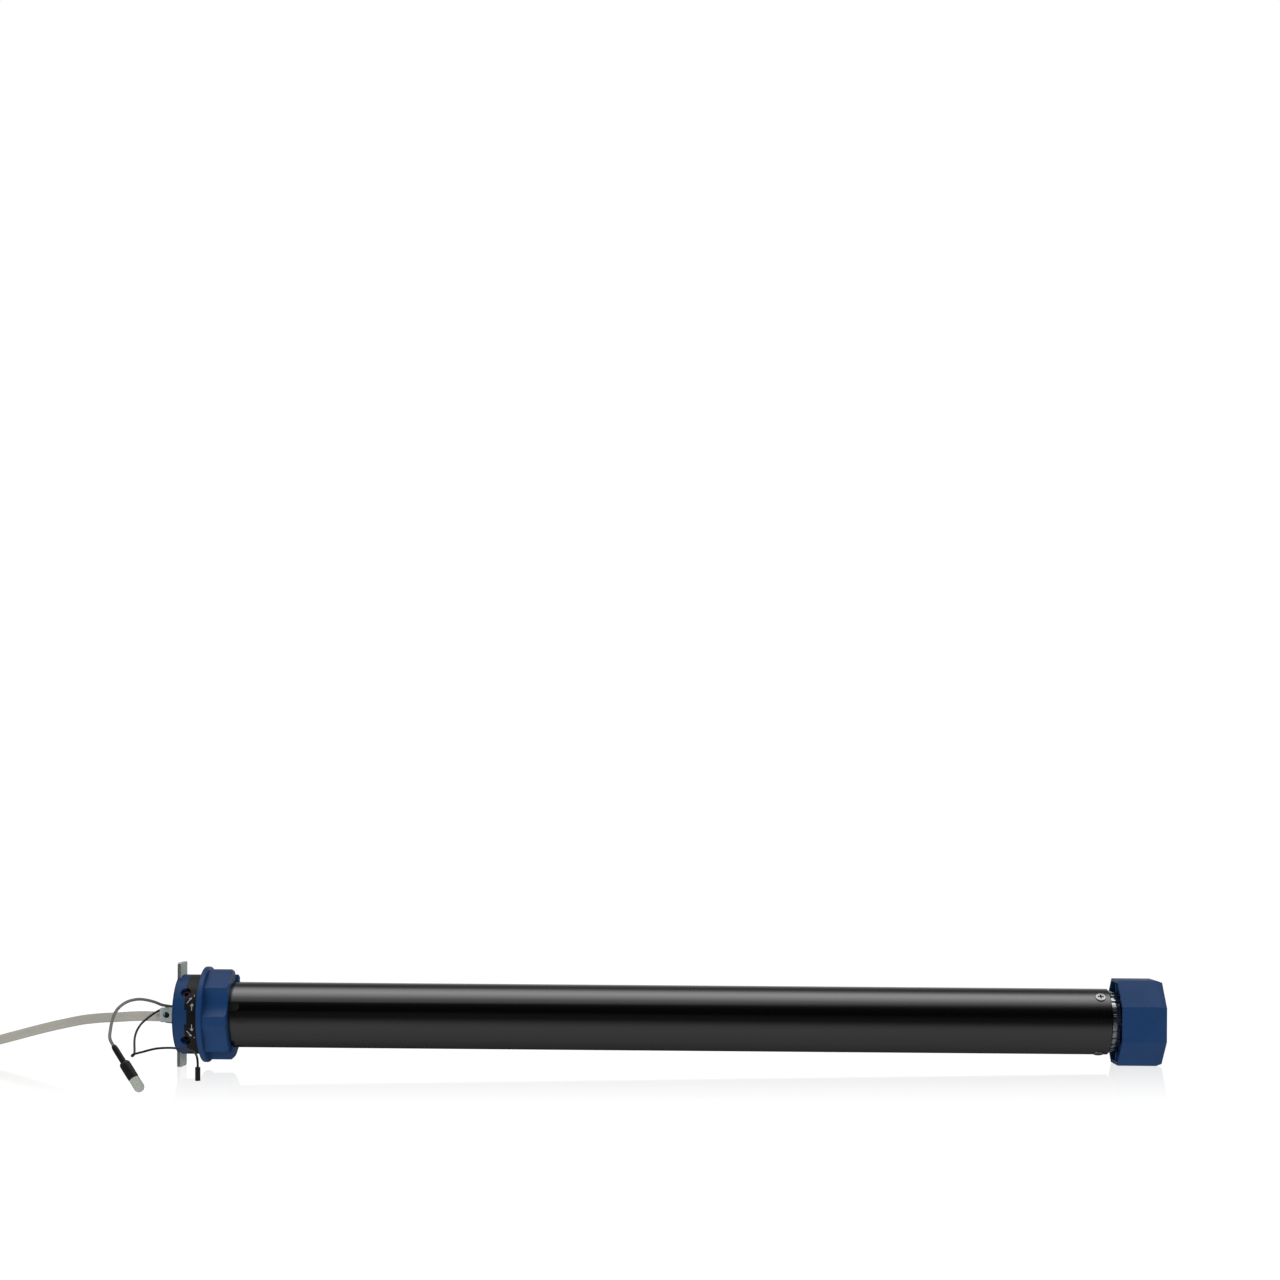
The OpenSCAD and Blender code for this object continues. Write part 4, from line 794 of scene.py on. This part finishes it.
def arrow(x, start, end):
    """A straight arrow round the ring: a shaft and a head five times as wide."""
    way = math.copysign(1, end - start)
    return [ribbon([[x, start], [x, end - 1.6 * way]], ARROW_SHAFT_W),
            ribbon([[x, end - 1.8 * way], [x, end - 1.7 * way], [x, end]], [ARROW_HEAD_W, ARROW_HEAD_W, 0.1])]


def turn_mark(side):
    """A curved stroke beside an access hole, with an arrowhead at its end."""
    stroke = np.array([[9.9, 9.6], [10.7, 10.3], [11.5, 11.6], [12.2, 12.9], [13.2, 13.6]])
    head = np.array([[12.0, 12.5], [12.4, 12.9], [13.2, 13.7]])
    return [ribbon(stroke * [1, side], 0.42), ribbon(head * [1, side], [1.5, 1.3, 0.1])]


marks = arrow(13.6, 4.6, 9.5) + arrow(13.6, -4.9, -9.7) + turn_mark(1) + turn_mark(-1)
marks += [ribbon([[14.5, 14.4], [14.7, 15.8]], 0.45), ribbon([[14.7, -14.3], [14.8, -15.1]], 0.7)]
make_piece("printed_marks", marks, "motor_body", "white_pvc")

# %% [markdown]
# Materials. Colours are given as hex and turned into linear light. One small function adds a node with
# its settings and links, and short ones on top of it make the sums, ranges, mixtures, noises and curves
# that come up again and again. The last four start a material with its place in space, lead roughness,
# relief and colour into its shader, give it two tones, and do all of this for a plain finish. Patterns
# are measured in the object's own millimetres, so they keep their real size at any distance.

# %% Helpers for materials
MATERIALS = {}
# numbers of a Mix node's two inputs and of its output, for each kind of value
MIX_SOCKETS = {"FLOAT": (2, 3, 0), "VECTOR": (4, 5, 1), "RGBA": (6, 7, 2)}


def linear(hex_colour):
    """sRGB hex to linear light: a straight toe, then a power of 2.4."""
    value = np.array([int(hex_colour.lstrip("#")[k:k + 2], 16) for k in (0, 2, 4)]) / 255
    light = np.where(value <= 0.04045, value / 12.92, ((value + 0.055) / 1.055) ** 2.4)
    return (*light.tolist(), 1.0)


def cleared(owner):
    """Switches on the shader nodes of a material or a world and takes the ready-made ones away."""
    owner.use_nodes = True
    owner.node_tree.nodes.clear()
    return owner.node_tree


def add(tree, kind, inputs=None, **settings):
    """Adds a shader node: settings are its own options, inputs are values or the sockets that feed it."""
    node = tree.nodes.new("ShaderNode" + kind)
    for name, value in settings.items():
        setattr(node, name, value)
    for name, value in (inputs or {}).items():
        if isinstance(value, bpy.types.NodeSocket):
            tree.links.new(value, node.inputs[name])
        else:
            node.inputs[name].default_value = value
    return node


def reckon(tree, operation, *values, **settings):
    """The result of one sum on numbers or sockets."""
    return add(tree, "Math", dict(enumerate(values)), operation=operation, **settings).outputs[0]


def rescale(tree, value, source=(0, 1), target=(0, 1), **settings):
    """Carries a value from the source range to the target range and holds it there."""
    ends = dict(zip(("From Min", "From Max", "To Min", "To Max"), source + target))
    return add(tree, "MapRange", {"Value": value, **ends}, **settings).outputs["Result"]


def blend(tree, kind, share, first, second):
    """Goes from the first to the second as the share grows from 0 to 1; kind says what is mixed."""
    a, b, mixed = MIX_SOCKETS[kind]
    return add(tree, "Mix", {0: share, a: first, b: second}, data_type=kind).outputs[mixed]


def noise(tree, place, size, detail):
    """Noise with spots of about that many millimetres."""
    return add(tree, "TexNoise", {"Vector": place, "Scale": 1 / size, "Detail": detail}).outputs["Fac"]


def by_curve(tree, value, stops):
    """A grey level read from a curve: stops are pairs of a value from 0 to 1 and the level there."""
    node = add(tree, "ValToRGB", {"Fac": value})
    for k, (at, level) in enumerate(stops):
        stop = node.color_ramp.elements[k] if k < 2 else node.color_ramp.elements.new(at)
        stop.position = at
        stop.color = (level, level, level, 1)
    return node.outputs["Color"]


def start_material(name, **sockets):
    """A new material with one Principled shader, and the object's own coordinates in millimetres."""
    MATERIALS[name] = bpy.data.materials.new(name)
    tree = cleared(MATERIALS[name])
    shader = add(tree, "BsdfPrincipled", sockets)
    add(tree, "OutputMaterial", {"Surface": shader.outputs["BSDF"]})
    place = add(tree, "TexCoord").outputs["Object"]
    place = add(tree, "Mapping", {"Vector": place, "Scale": (1000, 1000, 1000)}).outputs["Vector"]
    return tree, shader, place


def wire(tree, shader, rough, height, depth, colour=None):
    """Leads into the shader a roughness, a relief by its height pattern and depth, and any colour."""
    bump = add(tree, "Bump", {"Height": height, "Distance": depth}).outputs["Normal"]
    for name, socket in (("Roughness", rough), ("Normal", bump), ("Base Color", colour)):
        if socket is not None:
            tree.links.new(socket, shader.inputs[name])


def two_tone(tree, shader, fine, wide, spread, colours, roughness, relief):
    """Colour and roughness follow the sum of two patterns over its spread; the fine one is the relief."""
    part = rescale(tree, reckon(tree, "ADD", fine, wide), spread)
    colour = blend(tree, "RGBA", part, linear(colours[0]), linear(colours[1]))
    wire(tree, shader, rescale(tree, part, target=roughness), fine, relief * MM, colour)


def finish(name, colours, roughness, grain, relief, broad=25.0, stretch=(1, 1, 1), **sockets):
    """A material with two colours, two roughnesses, a grain size and a relief in millimetres."""
    tree, shader, place = start_material(name, **sockets)
    place = add(tree, "Mapping", {"Vector": place, "Scale": stretch}).outputs["Vector"]
    two_tone(tree, shader, noise(tree, place, grain, 3.0), noise(tree, place, broad, 2.0), (0.7, 1.3),
             colours, roughness, relief)


# %% [markdown]
# The motor tube's stoved black finish is smooth and dense, with graphite in it, so it reflects nearly
# four times as much as plain enamel: an index of 2.25 gives a seventh of the light straight on. A very
# shallow orange peel, 3 mm across, makes the bands on the tube swim a little, and the base stays near
# black.

# %% Black paint of the tube
tree, shader, place = start_material("black_paint", IOR=2.25, **{"Base Color": linear("#070707")})
peel = noise(tree, place, 3, 2.0)
dust = noise(tree, place, 0.4, 2.0)
wire(tree, shader, rescale(tree, dust, (0.3, 0.7), (0.15, 0.2)), peel, 0.004 * MM)

# %% [markdown]
# The blue parts are moulded in a spark-eroded tool, which leaves an even skin of fine pits. The pits are
# Voronoi cells 0.5 mm apart: each is a soft hollow, with painted shade that makes it a little darker at its
# bottom. The skin scatters, so the shine is weaker than a polished plastic's. The crown is acetal, a little
# waxier than the ABS of the cap and the wheel, and its colour is one step lighter.

# %% Blue mouldings
for name, colours, roughness, shine in (("blue_abs", ("#113a69", "#164275"), (0.58, 0.46), 0.33),
                                        ("blue_pom", ("#133d6d", "#18457a"), (0.5, 0.4), 0.37)):
    tree, shader, place = start_material(name, IOR=1.52, **{"Specular IOR Level": shine})
    pits = add(tree, "TexVoronoi", {"Vector": place, "Scale": 1 / 0.5}).outputs["Distance"]
    # the pits also set the colour: painted shade, a little darker at the bottom of each pit
    two_tone(tree, shader, pits, noise(tree, place, 14, 3.0), (0.6, 1.3), colours, roughness, 0.02)

# %% [markdown]
# The bracket plate is galvanised steel. Its zinc froze in crystals a few millimetres wide, each with its
# own tilt, so the spangle is a Voronoi pattern whose cells differ in colour and shine, from bluish to a
# faint straw yellow. The zinc has a dull white skin, which scatters part of the light. Where the plate
# was sheared, on its narrow faces behind the head plane, the steel is darker and grainy.

# %% Galvanised steel
tree, shader, place = start_material("galvanised_steel", Metallic=0.25)
warp = add(tree, "TexNoise", {"Vector": place, "Scale": 1 / 2.5, "Detail": 2.0}).outputs["Color"]
bent = blend(tree, "VECTOR", 0.3, place, warp)
crystal = add(tree, "TexVoronoi", {"Vector": bent, "Scale": 1 / 3.2}).outputs["Color"]
tilt = add(tree, "SeparateColor", {"Color": crystal}).outputs
zinc = blend(tree, "RGBA", tilt[0], linear("#c4d2d4"), linear("#e6e9da"))
facing = add(tree, "SeparateXYZ", {"Vector": add(tree, "NewGeometry").outputs["True Normal"]})
side = reckon(tree, "GREATER_THAN", reckon(tree, "ABSOLUTE", facing.outputs["Y"]), 0.8)
where = add(tree, "SeparateXYZ", {"Vector": place}).outputs["X"]
behind = reckon(tree, "GREATER_THAN", where, HEAD_PLANE[0] / MM)
sheared = reckon(tree, "MULTIPLY", side, behind)
grain = noise(tree, place, 0.5, 4.0)
torn = blend(tree, "RGBA", rescale(tree, grain, (0.4, 0.6)), linear("#3f4241"), linear("#949894"))
colour = blend(tree, "RGBA", sheared, zinc, torn)
depth = rescale(tree, sheared, target=(0.004 * MM, 0.08 * MM))
wire(tree, shader, rescale(tree, tilt[1], target=(0.3, 0.45)), grain, depth, colour)

# %% [markdown]
# The other plastics. All are dielectrics, so they have no metallic part and an index near 1.5. What tells
# them apart is colour, roughness and grain.

# %% Plastics
# Glass-filled nylon of the head: the fibres make the skin matt and faintly speckled.
finish("black_pa", ("#0e0e0f", "#161617"), (0.5, 0.62), 0.5, 0.02, IOR=1.53)
# Rubber of the cable outlet: the dullest black, with no clear highlight.
finish("black_rubber", ("#141415", "#1c1c1d"), (0.65, 0.8), 0.9, 0.03, IOR=1.52)
# Acetal of the upper adjuster: a waxy purple that shows in its hole.
finish("purple_pom", ("#371a3b", "#432047"), (0.3, 0.4), 0.6, 0.01, IOR=1.48)
# Acetal of the lower adjuster: a waxy blue-black.
finish("black_pom", ("#0f1319", "#171c25"), (0.3, 0.4), 0.6, 0.01, IOR=1.48)
# Moulded switch cases: a satin dark grey that shows their edges.
finish("dark_pbt", ("#1c1f24", "#282b31"), (0.45, 0.55), 0.6, 0.02)
# Acetal cams: waxy signal colours, red for up and green for down.
finish("red_pom", ("#b83b34", "#cd4a42"), (0.35, 0.45), 0.7, 0.01, IOR=1.48)
finish("green_pom", ("#35804a", "#439455"), (0.35, 0.45), 0.7, 0.01, IOR=1.48)
# Natural acetal of the gears: an ivory that light seems to enter.
finish("white_pom", ("#d6d0bf", "#e4dfd0"), (0.35, 0.45), 0.7, 0.01, IOR=1.48,
       **{"Subsurface Weight": 0.2, "Subsurface Scale": 0.002})
# Natural nylon of the frame: a flatter, greyer white than the gears.
finish("grey_pa", ("#cbc9bf", "#d8d6cc"), (0.45, 0.55), 0.6, 0.02)
# Solder mask over the board: a clear green gloss.
finish("circuit_board", ("#174a2e", "#20603d"), (0.3, 0.5), 1.0, 0.02)
# Pressed fibre lining of the brake disc: chalky brown with torn fibres.
finish("brake_lining", ("#4e4336", "#6a5b49"), (0.8, 0.95), 0.4, 0.05)

# %% [markdown]
# Metals. Bare metal takes its colour from the reflection itself, so it is fully metallic and keeps the
# default index. Drawn and ground steel is stretched into fine lines, castings have a cloudy skin, and
# sintered parts show the grain of their powder.

# %% Metals
# Plain screw steel: a soft grey shine.
finish("screw_steel", ("#85888b", "#a5a8aa"), (0.25, 0.4), 0.3, 0.01, Metallic=1.0)
# Bright zinc on the tube's screws and the ferrules: a silver disc, on which the cross reads as dark.
finish("bright_zinc_screw", ("#a6a9ab", "#c2c5c6"), (0.24, 0.36), 0.4, 0.004, Metallic=1.0)
# Spring wire: hard, thin highlights along the coils.
finish("spring_steel", ("#a9acaf", "#c0c3c5"), (0.2, 0.35), 0.25, 0.008, Metallic=1.0)
# Deep-drawn aluminium of the capacitor: pale, with lines along its length.
finish("aluminium_can", ("#bcbfc1", "#d0d3d5"), (0.3, 0.42), 0.4, 0.006, stretch=(0.05, 1, 1),
       Metallic=1.0)
# Oiled iron of the brake coil: dark, warm and uneven.
finish("brake_iron", ("#5e5850", "#7a7268"), (0.4, 0.55), 0.35, 0.015, Metallic=1.0)
# Die-cast zinc of the hub: a cloudy skin whose tone varies, and small bright spots that are painted glints.
finish("cast_zinc", ("#959ba0", "#e6eaed"), (0.07, 0.16), 2.0, 0.004, broad=6, Metallic=0.96)
# Ground bearing rings: the cleanest steel of all.
finish("bearing_steel", ("#9da1a4", "#b4b8ba"), (0.15, 0.25), 0.3, 0.004, Metallic=1.0)
# Stacked sheets of the stator and rotor: lines across the axis, one for each sheet.
finish("lamination_steel", ("#505356", "#6b6e71"), (0.4, 0.55), 0.5, 0.02, stretch=(1, 0.05, 0.05),
       Metallic=1.0)
# Ground shaft: darker than the rings, with a long soft streak.
finish("shaft_steel", ("#85888b", "#9da0a3"), (0.2, 0.32), 0.25, 0.006, Metallic=1.0)
# Sintered steel of the gears: dull and grainy.
finish("sintered_steel", ("#9a9da0", "#b5b8bb"), (0.42, 0.55), 0.25, 0.02, Metallic=1.0)
# Sintered bronze bush: the same grain in a brown gold.
finish("sintered_bronze", ("#94713d", "#ac8850"), (0.4, 0.55), 0.25, 0.02, Metallic=1.0)
# Enamelled copper: strands along the motor, orange and glossy.
finish("copper_wire", ("#9c5d2c", "#bf7b42"), (0.3, 0.42), 0.6, 0.04, stretch=(0.1, 1, 1), Metallic=1.0)

# %% [markdown]
# Cords and soft skins. PVC sheath is extruded, so it is almost even along its length; shrink sleeve is a
# little rough; the dome is cast silicone, which lets some light in and scatters it.

# %% Sheaths and sleeves
# White flexible PVC of the mains cable: a warm off-white with a broad soft shine.
finish("white_pvc", ("#bdbbb0", "#c1bfb4"), (0.42, 0.48), 4.0, 0.004, broad=60, IOR=1.53)
# Core insulation: brown, blue, and green with a yellow stripe.
finish("core_pvc", ("#5d3d22", "#724d2e"), (0.35, 0.45), 0.8, 0.01, IOR=1.53)
finish("blue_core", ("#22508c", "#2c5fa2"), (0.35, 0.45), 0.8, 0.01, IOR=1.53)
finish("green_core", ("#6f9430", "#c8b93a"), (0.35, 0.45), 2.4, 0.01, broad=6, IOR=1.53)
# Grey PVC of the sensor's lead: matt enough to look soft.
finish("grey_pvc", ("#7b7875", "#84817e"), (0.42, 0.52), 0.8, 0.008, IOR=1.53)
# Black PVC of the aerial: a thin line of light along it.
finish("black_pvc", ("#161617", "#1e1e1f"), (0.34, 0.44), 0.8, 0.008, IOR=1.53)
# Shrink sleeve and moulded tip: satin black, slightly wrinkled.
finish("black_shrink", ("#151516", "#1e1e1f"), (0.4, 0.52), 0.9, 0.04, IOR=1.5)
# Cast silicone of the dome: milky, greenish, soft inside and glossy outside.
finish("clear_silicone", ("#b3b9b1", "#bcc2ba"), (0.22, 0.3), 2.0, 0.006, IOR=1.41,
       **{"Subsurface Weight": 0.25, "Subsurface Scale": 0.003, "Subsurface Radius": (1.0, 1.0, 0.9)})
# Pad-print ink: a flat white a little dimmer than paper.
finish("print_white", ("#b4b5b3", "#c9cac8"), (0.5, 0.6), 0.5, 0.01)

# %% [markdown]
# Each CAD node says in the record which finish it has, so the frame's own objects and the new pieces take
# their materials by the same names.

# %% Give every piece its finish
SPECIAL = {"mains_blue_core": "blue_core", "mains_green_core": "green_core", "printed_marks": "print_white"}
SPECIAL |= {"ferrule_" + name: "bright_zinc_screw" for name in CORE_COLOURS}

for part in frame["record"]["subparts"]:
    mesh = NODES[part["node"]].data
    mesh.materials.clear()
    mesh.materials.append(MATERIALS[part["material_slot"]])

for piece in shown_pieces():
    if "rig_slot" in piece:
        piece.data.materials.clear()
        piece.data.materials.append(MATERIALS[SPECIAL.get(piece.name, piece["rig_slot"])])

# %% [markdown]
# The studio. What the room shows in each direction is one curve of brightness, run from the front horizon
# over the top to the back: a dark room in front, a long soft box overhead that draws the bright band
# along the black tube, and a white wall at the back that the tube only sees at its very edge. Towards the
# ends the overhead light fades into dim side walls, so the tube stays black from there too. Two big fills
# stand beside the camera; they light the blue faces evenly and leave no highlight, like bounced light.

# %% Light
# angle from the front horizon over the top in half turns, brightness of the room there as a share of the top
ROOM_GLOW = ((0.0, 0.02), (0.12, 0.0), (0.24, 0.004), (0.3, 0.035), (0.34, 0.16), (0.38, 0.36),
             (0.44, 0.68), (0.5, 0.97), (0.53, 1.0), (0.6, 0.72), (0.65, 0.28), (0.7, 0.07),
             (0.8, 0.11), (0.9, 0.36), (1.0, 0.64))
TOP_LIGHT = 1.65
SIDE_LIGHT = 0.28
# how far to the side a direction points, from 0 to 1, where the top fades and where the walls come in
TOP_FADE = (0.4, 0.85)
WALL_RISE = (0.35, 0.8)


def room_glow(tree, across, front, height):
    """Brightness of the room in a direction: the curve over the top, fading to the sides, plus walls."""
    angle = reckon(tree, "ARCTAN2", reckon(tree, "MAXIMUM", height, 0.0), front)
    room = by_curve(tree, reckon(tree, "DIVIDE", angle, math.pi), ROOM_GLOW)
    aside = reckon(tree, "ABSOLUTE", across)
    top = rescale(tree, aside, TOP_FADE, (TOP_LIGHT, 0.0), interpolation_type="SMOOTHSTEP")
    walls = rescale(tree, aside, WALL_RISE, (0.0, SIDE_LIGHT), interpolation_type="SMOOTHSTEP")
    return reckon(tree, "MULTIPLY_ADD", room, top, walls)


world = bpy.data.worlds.new("studio")
bpy.context.scene.world = world
sky = cleared(world)
look = add(sky, "SeparateXYZ", {"Vector": add(sky, "TexCoord").outputs["Generated"]}).outputs
glow = room_glow(sky, look["X"], reckon(sky, "MULTIPLY", look["Y"], -1.0), look["Z"])
level = blend(sky, "FLOAT", add(sky, "LightPath").outputs["Is Camera Ray"], glow, 1.0)
backdrop = add(sky, "Background", {"Color": (1, 1, 1, 1), "Strength": level})
add(sky, "OutputWorld", {"Surface": backdrop.outputs["Background"]})

MOTOR_MIDDLE = np.array([0, 0, 0.036])
FILL_SIZE = (1.2, 0.8)
FILL_LIGHT = 2.75
for name, at in (("fill_left", (-1.1, -1.6, 0.5)), ("fill_right", (1.1, -1.6, 0.5))):
    lamp = new_object(name, bpy.data.lights.new(name, "AREA"))
    lamp.data.shape = "RECTANGLE"
    lamp.data.size, lamp.data.size_y = FILL_SIZE
    lamp.data.energy = FILL_LIGHT * math.pi * FILL_SIZE[0] * FILL_SIZE[1]
    lamp.visible_glossy = False
    lamp.visible_camera = False
    back = unit(np.array(at) - MOTOR_MIDDLE)
    across = unit(np.cross([0, 0, 1], back))
    stand(lamp, np.stack([across, np.cross(back, across), back], 1), at)

# %% [markdown]
# The floor is a white sheet that the picture shows as pure white. As a light it shines evenly from below,
# and what glossy skins see in it is a painted glow: brightest just in front, falling off into the dark room,
# with a painted shadow under and behind the motor. It mirrors the motor near its foot, and the mirror image
# fades away within a quarter of a metre. Where the mirror would show the room's dark side, the sheet makes up
# for what is lacking, so the floor stays white from every side.

# %% Floor
FLOOR_SIZE = 14.0
# distance behind the axis in metres, brightness of the sheet there: a painted glow, with a painted shadow under
# and behind the motor
FLOOR_GLOW = ((-0.5, 0.03), (-0.34, 0.055), (-0.16, 0.11), (-0.085, 0.22), (-0.06, 0.26), (-0.035, 0.24),
              (-0.018, 0.2), (0.0, 0.09), (0.012, 0.045), (0.04, 0.055), (0.1, 0.1), (0.5, 0.2))
FLOOR_LIGHT = 0.72
FLOOR_SEEN = 1.05
MIRROR_NEAR = 0.3
MIRROR_REACH = 0.27
MIRROR_FADE = 1.15
MIRROR_BLUR = 0.06
floor_mesh = bpy.data.meshes.new("floor")
corner = FLOOR_SIZE / 2
corners = [(-corner, -corner, 0), (corner, -corner, 0), (corner, corner, 0), (-corner, corner, 0)]
floor_mesh.from_pydata(corners, [], [(0, 1, 2, 3)])
new_object("floor", floor_mesh)

white_floor = bpy.data.materials.new("white_sheet")
tree = cleared(white_floor)
behind = add(tree, "SeparateXYZ", {"Vector": add(tree, "TexCoord").outputs["Object"]}).outputs["Y"]
# painted glow of the sheet for glossy rays, with its painted shadow under and behind the motor
dim = by_curve(tree, rescale(tree, behind, (-0.5, 0.5)), [(y + 0.5, level) for y, level in FLOOR_GLOW])
ray = add(tree, "LightPath").outputs
below = blend(tree, "FLOAT", ray["Is Diffuse Ray"], dim, FLOOR_LIGHT)
white = blend(tree, "FLOAT", ray["Is Camera Ray"], below, FLOOR_SEEN)
sheet = add(tree, "Emission", {"Color": (1, 1, 1, 1), "Strength": white}).outputs[0]
left = rescale(tree, reckon(tree, "ABSOLUTE", behind), (0.0, MIRROR_REACH), (1.0, 0.0))
mirror = reckon(tree, "MULTIPLY", reckon(tree, "POWER", left, MIRROR_FADE), MIRROR_NEAR)
mirror = reckon(tree, "MULTIPLY", mirror, ray["Is Camera Ray"])
gloss = add(tree, "BsdfGlossy", {"Color": (1, 1, 1, 1), "Roughness": MIRROR_BLUR}).outputs[0]
toward = add(tree, "SeparateXYZ", {"Vector": add(tree, "NewGeometry").outputs["Incoming"]}).outputs
mirrored = room_glow(tree, toward["X"], toward["Y"], toward["Z"])
lack = reckon(tree, "SUBTRACT", 1.0, mirrored, use_clamp=True)
lift = add(tree, "Emission", {"Color": (1, 1, 1, 1), "Strength": lack}).outputs[0]
image = add(tree, "AddShader", {0: gloss, 1: lift}).outputs[0]
mixed = add(tree, "MixShader", {0: mirror, 1: sheet, 2: image}).outputs[0]
add(tree, "OutputMaterial", {"Surface": mixed})
floor_mesh.materials.append(white_floor)

bpy.context.scene.view_settings.view_transform = "Standard"
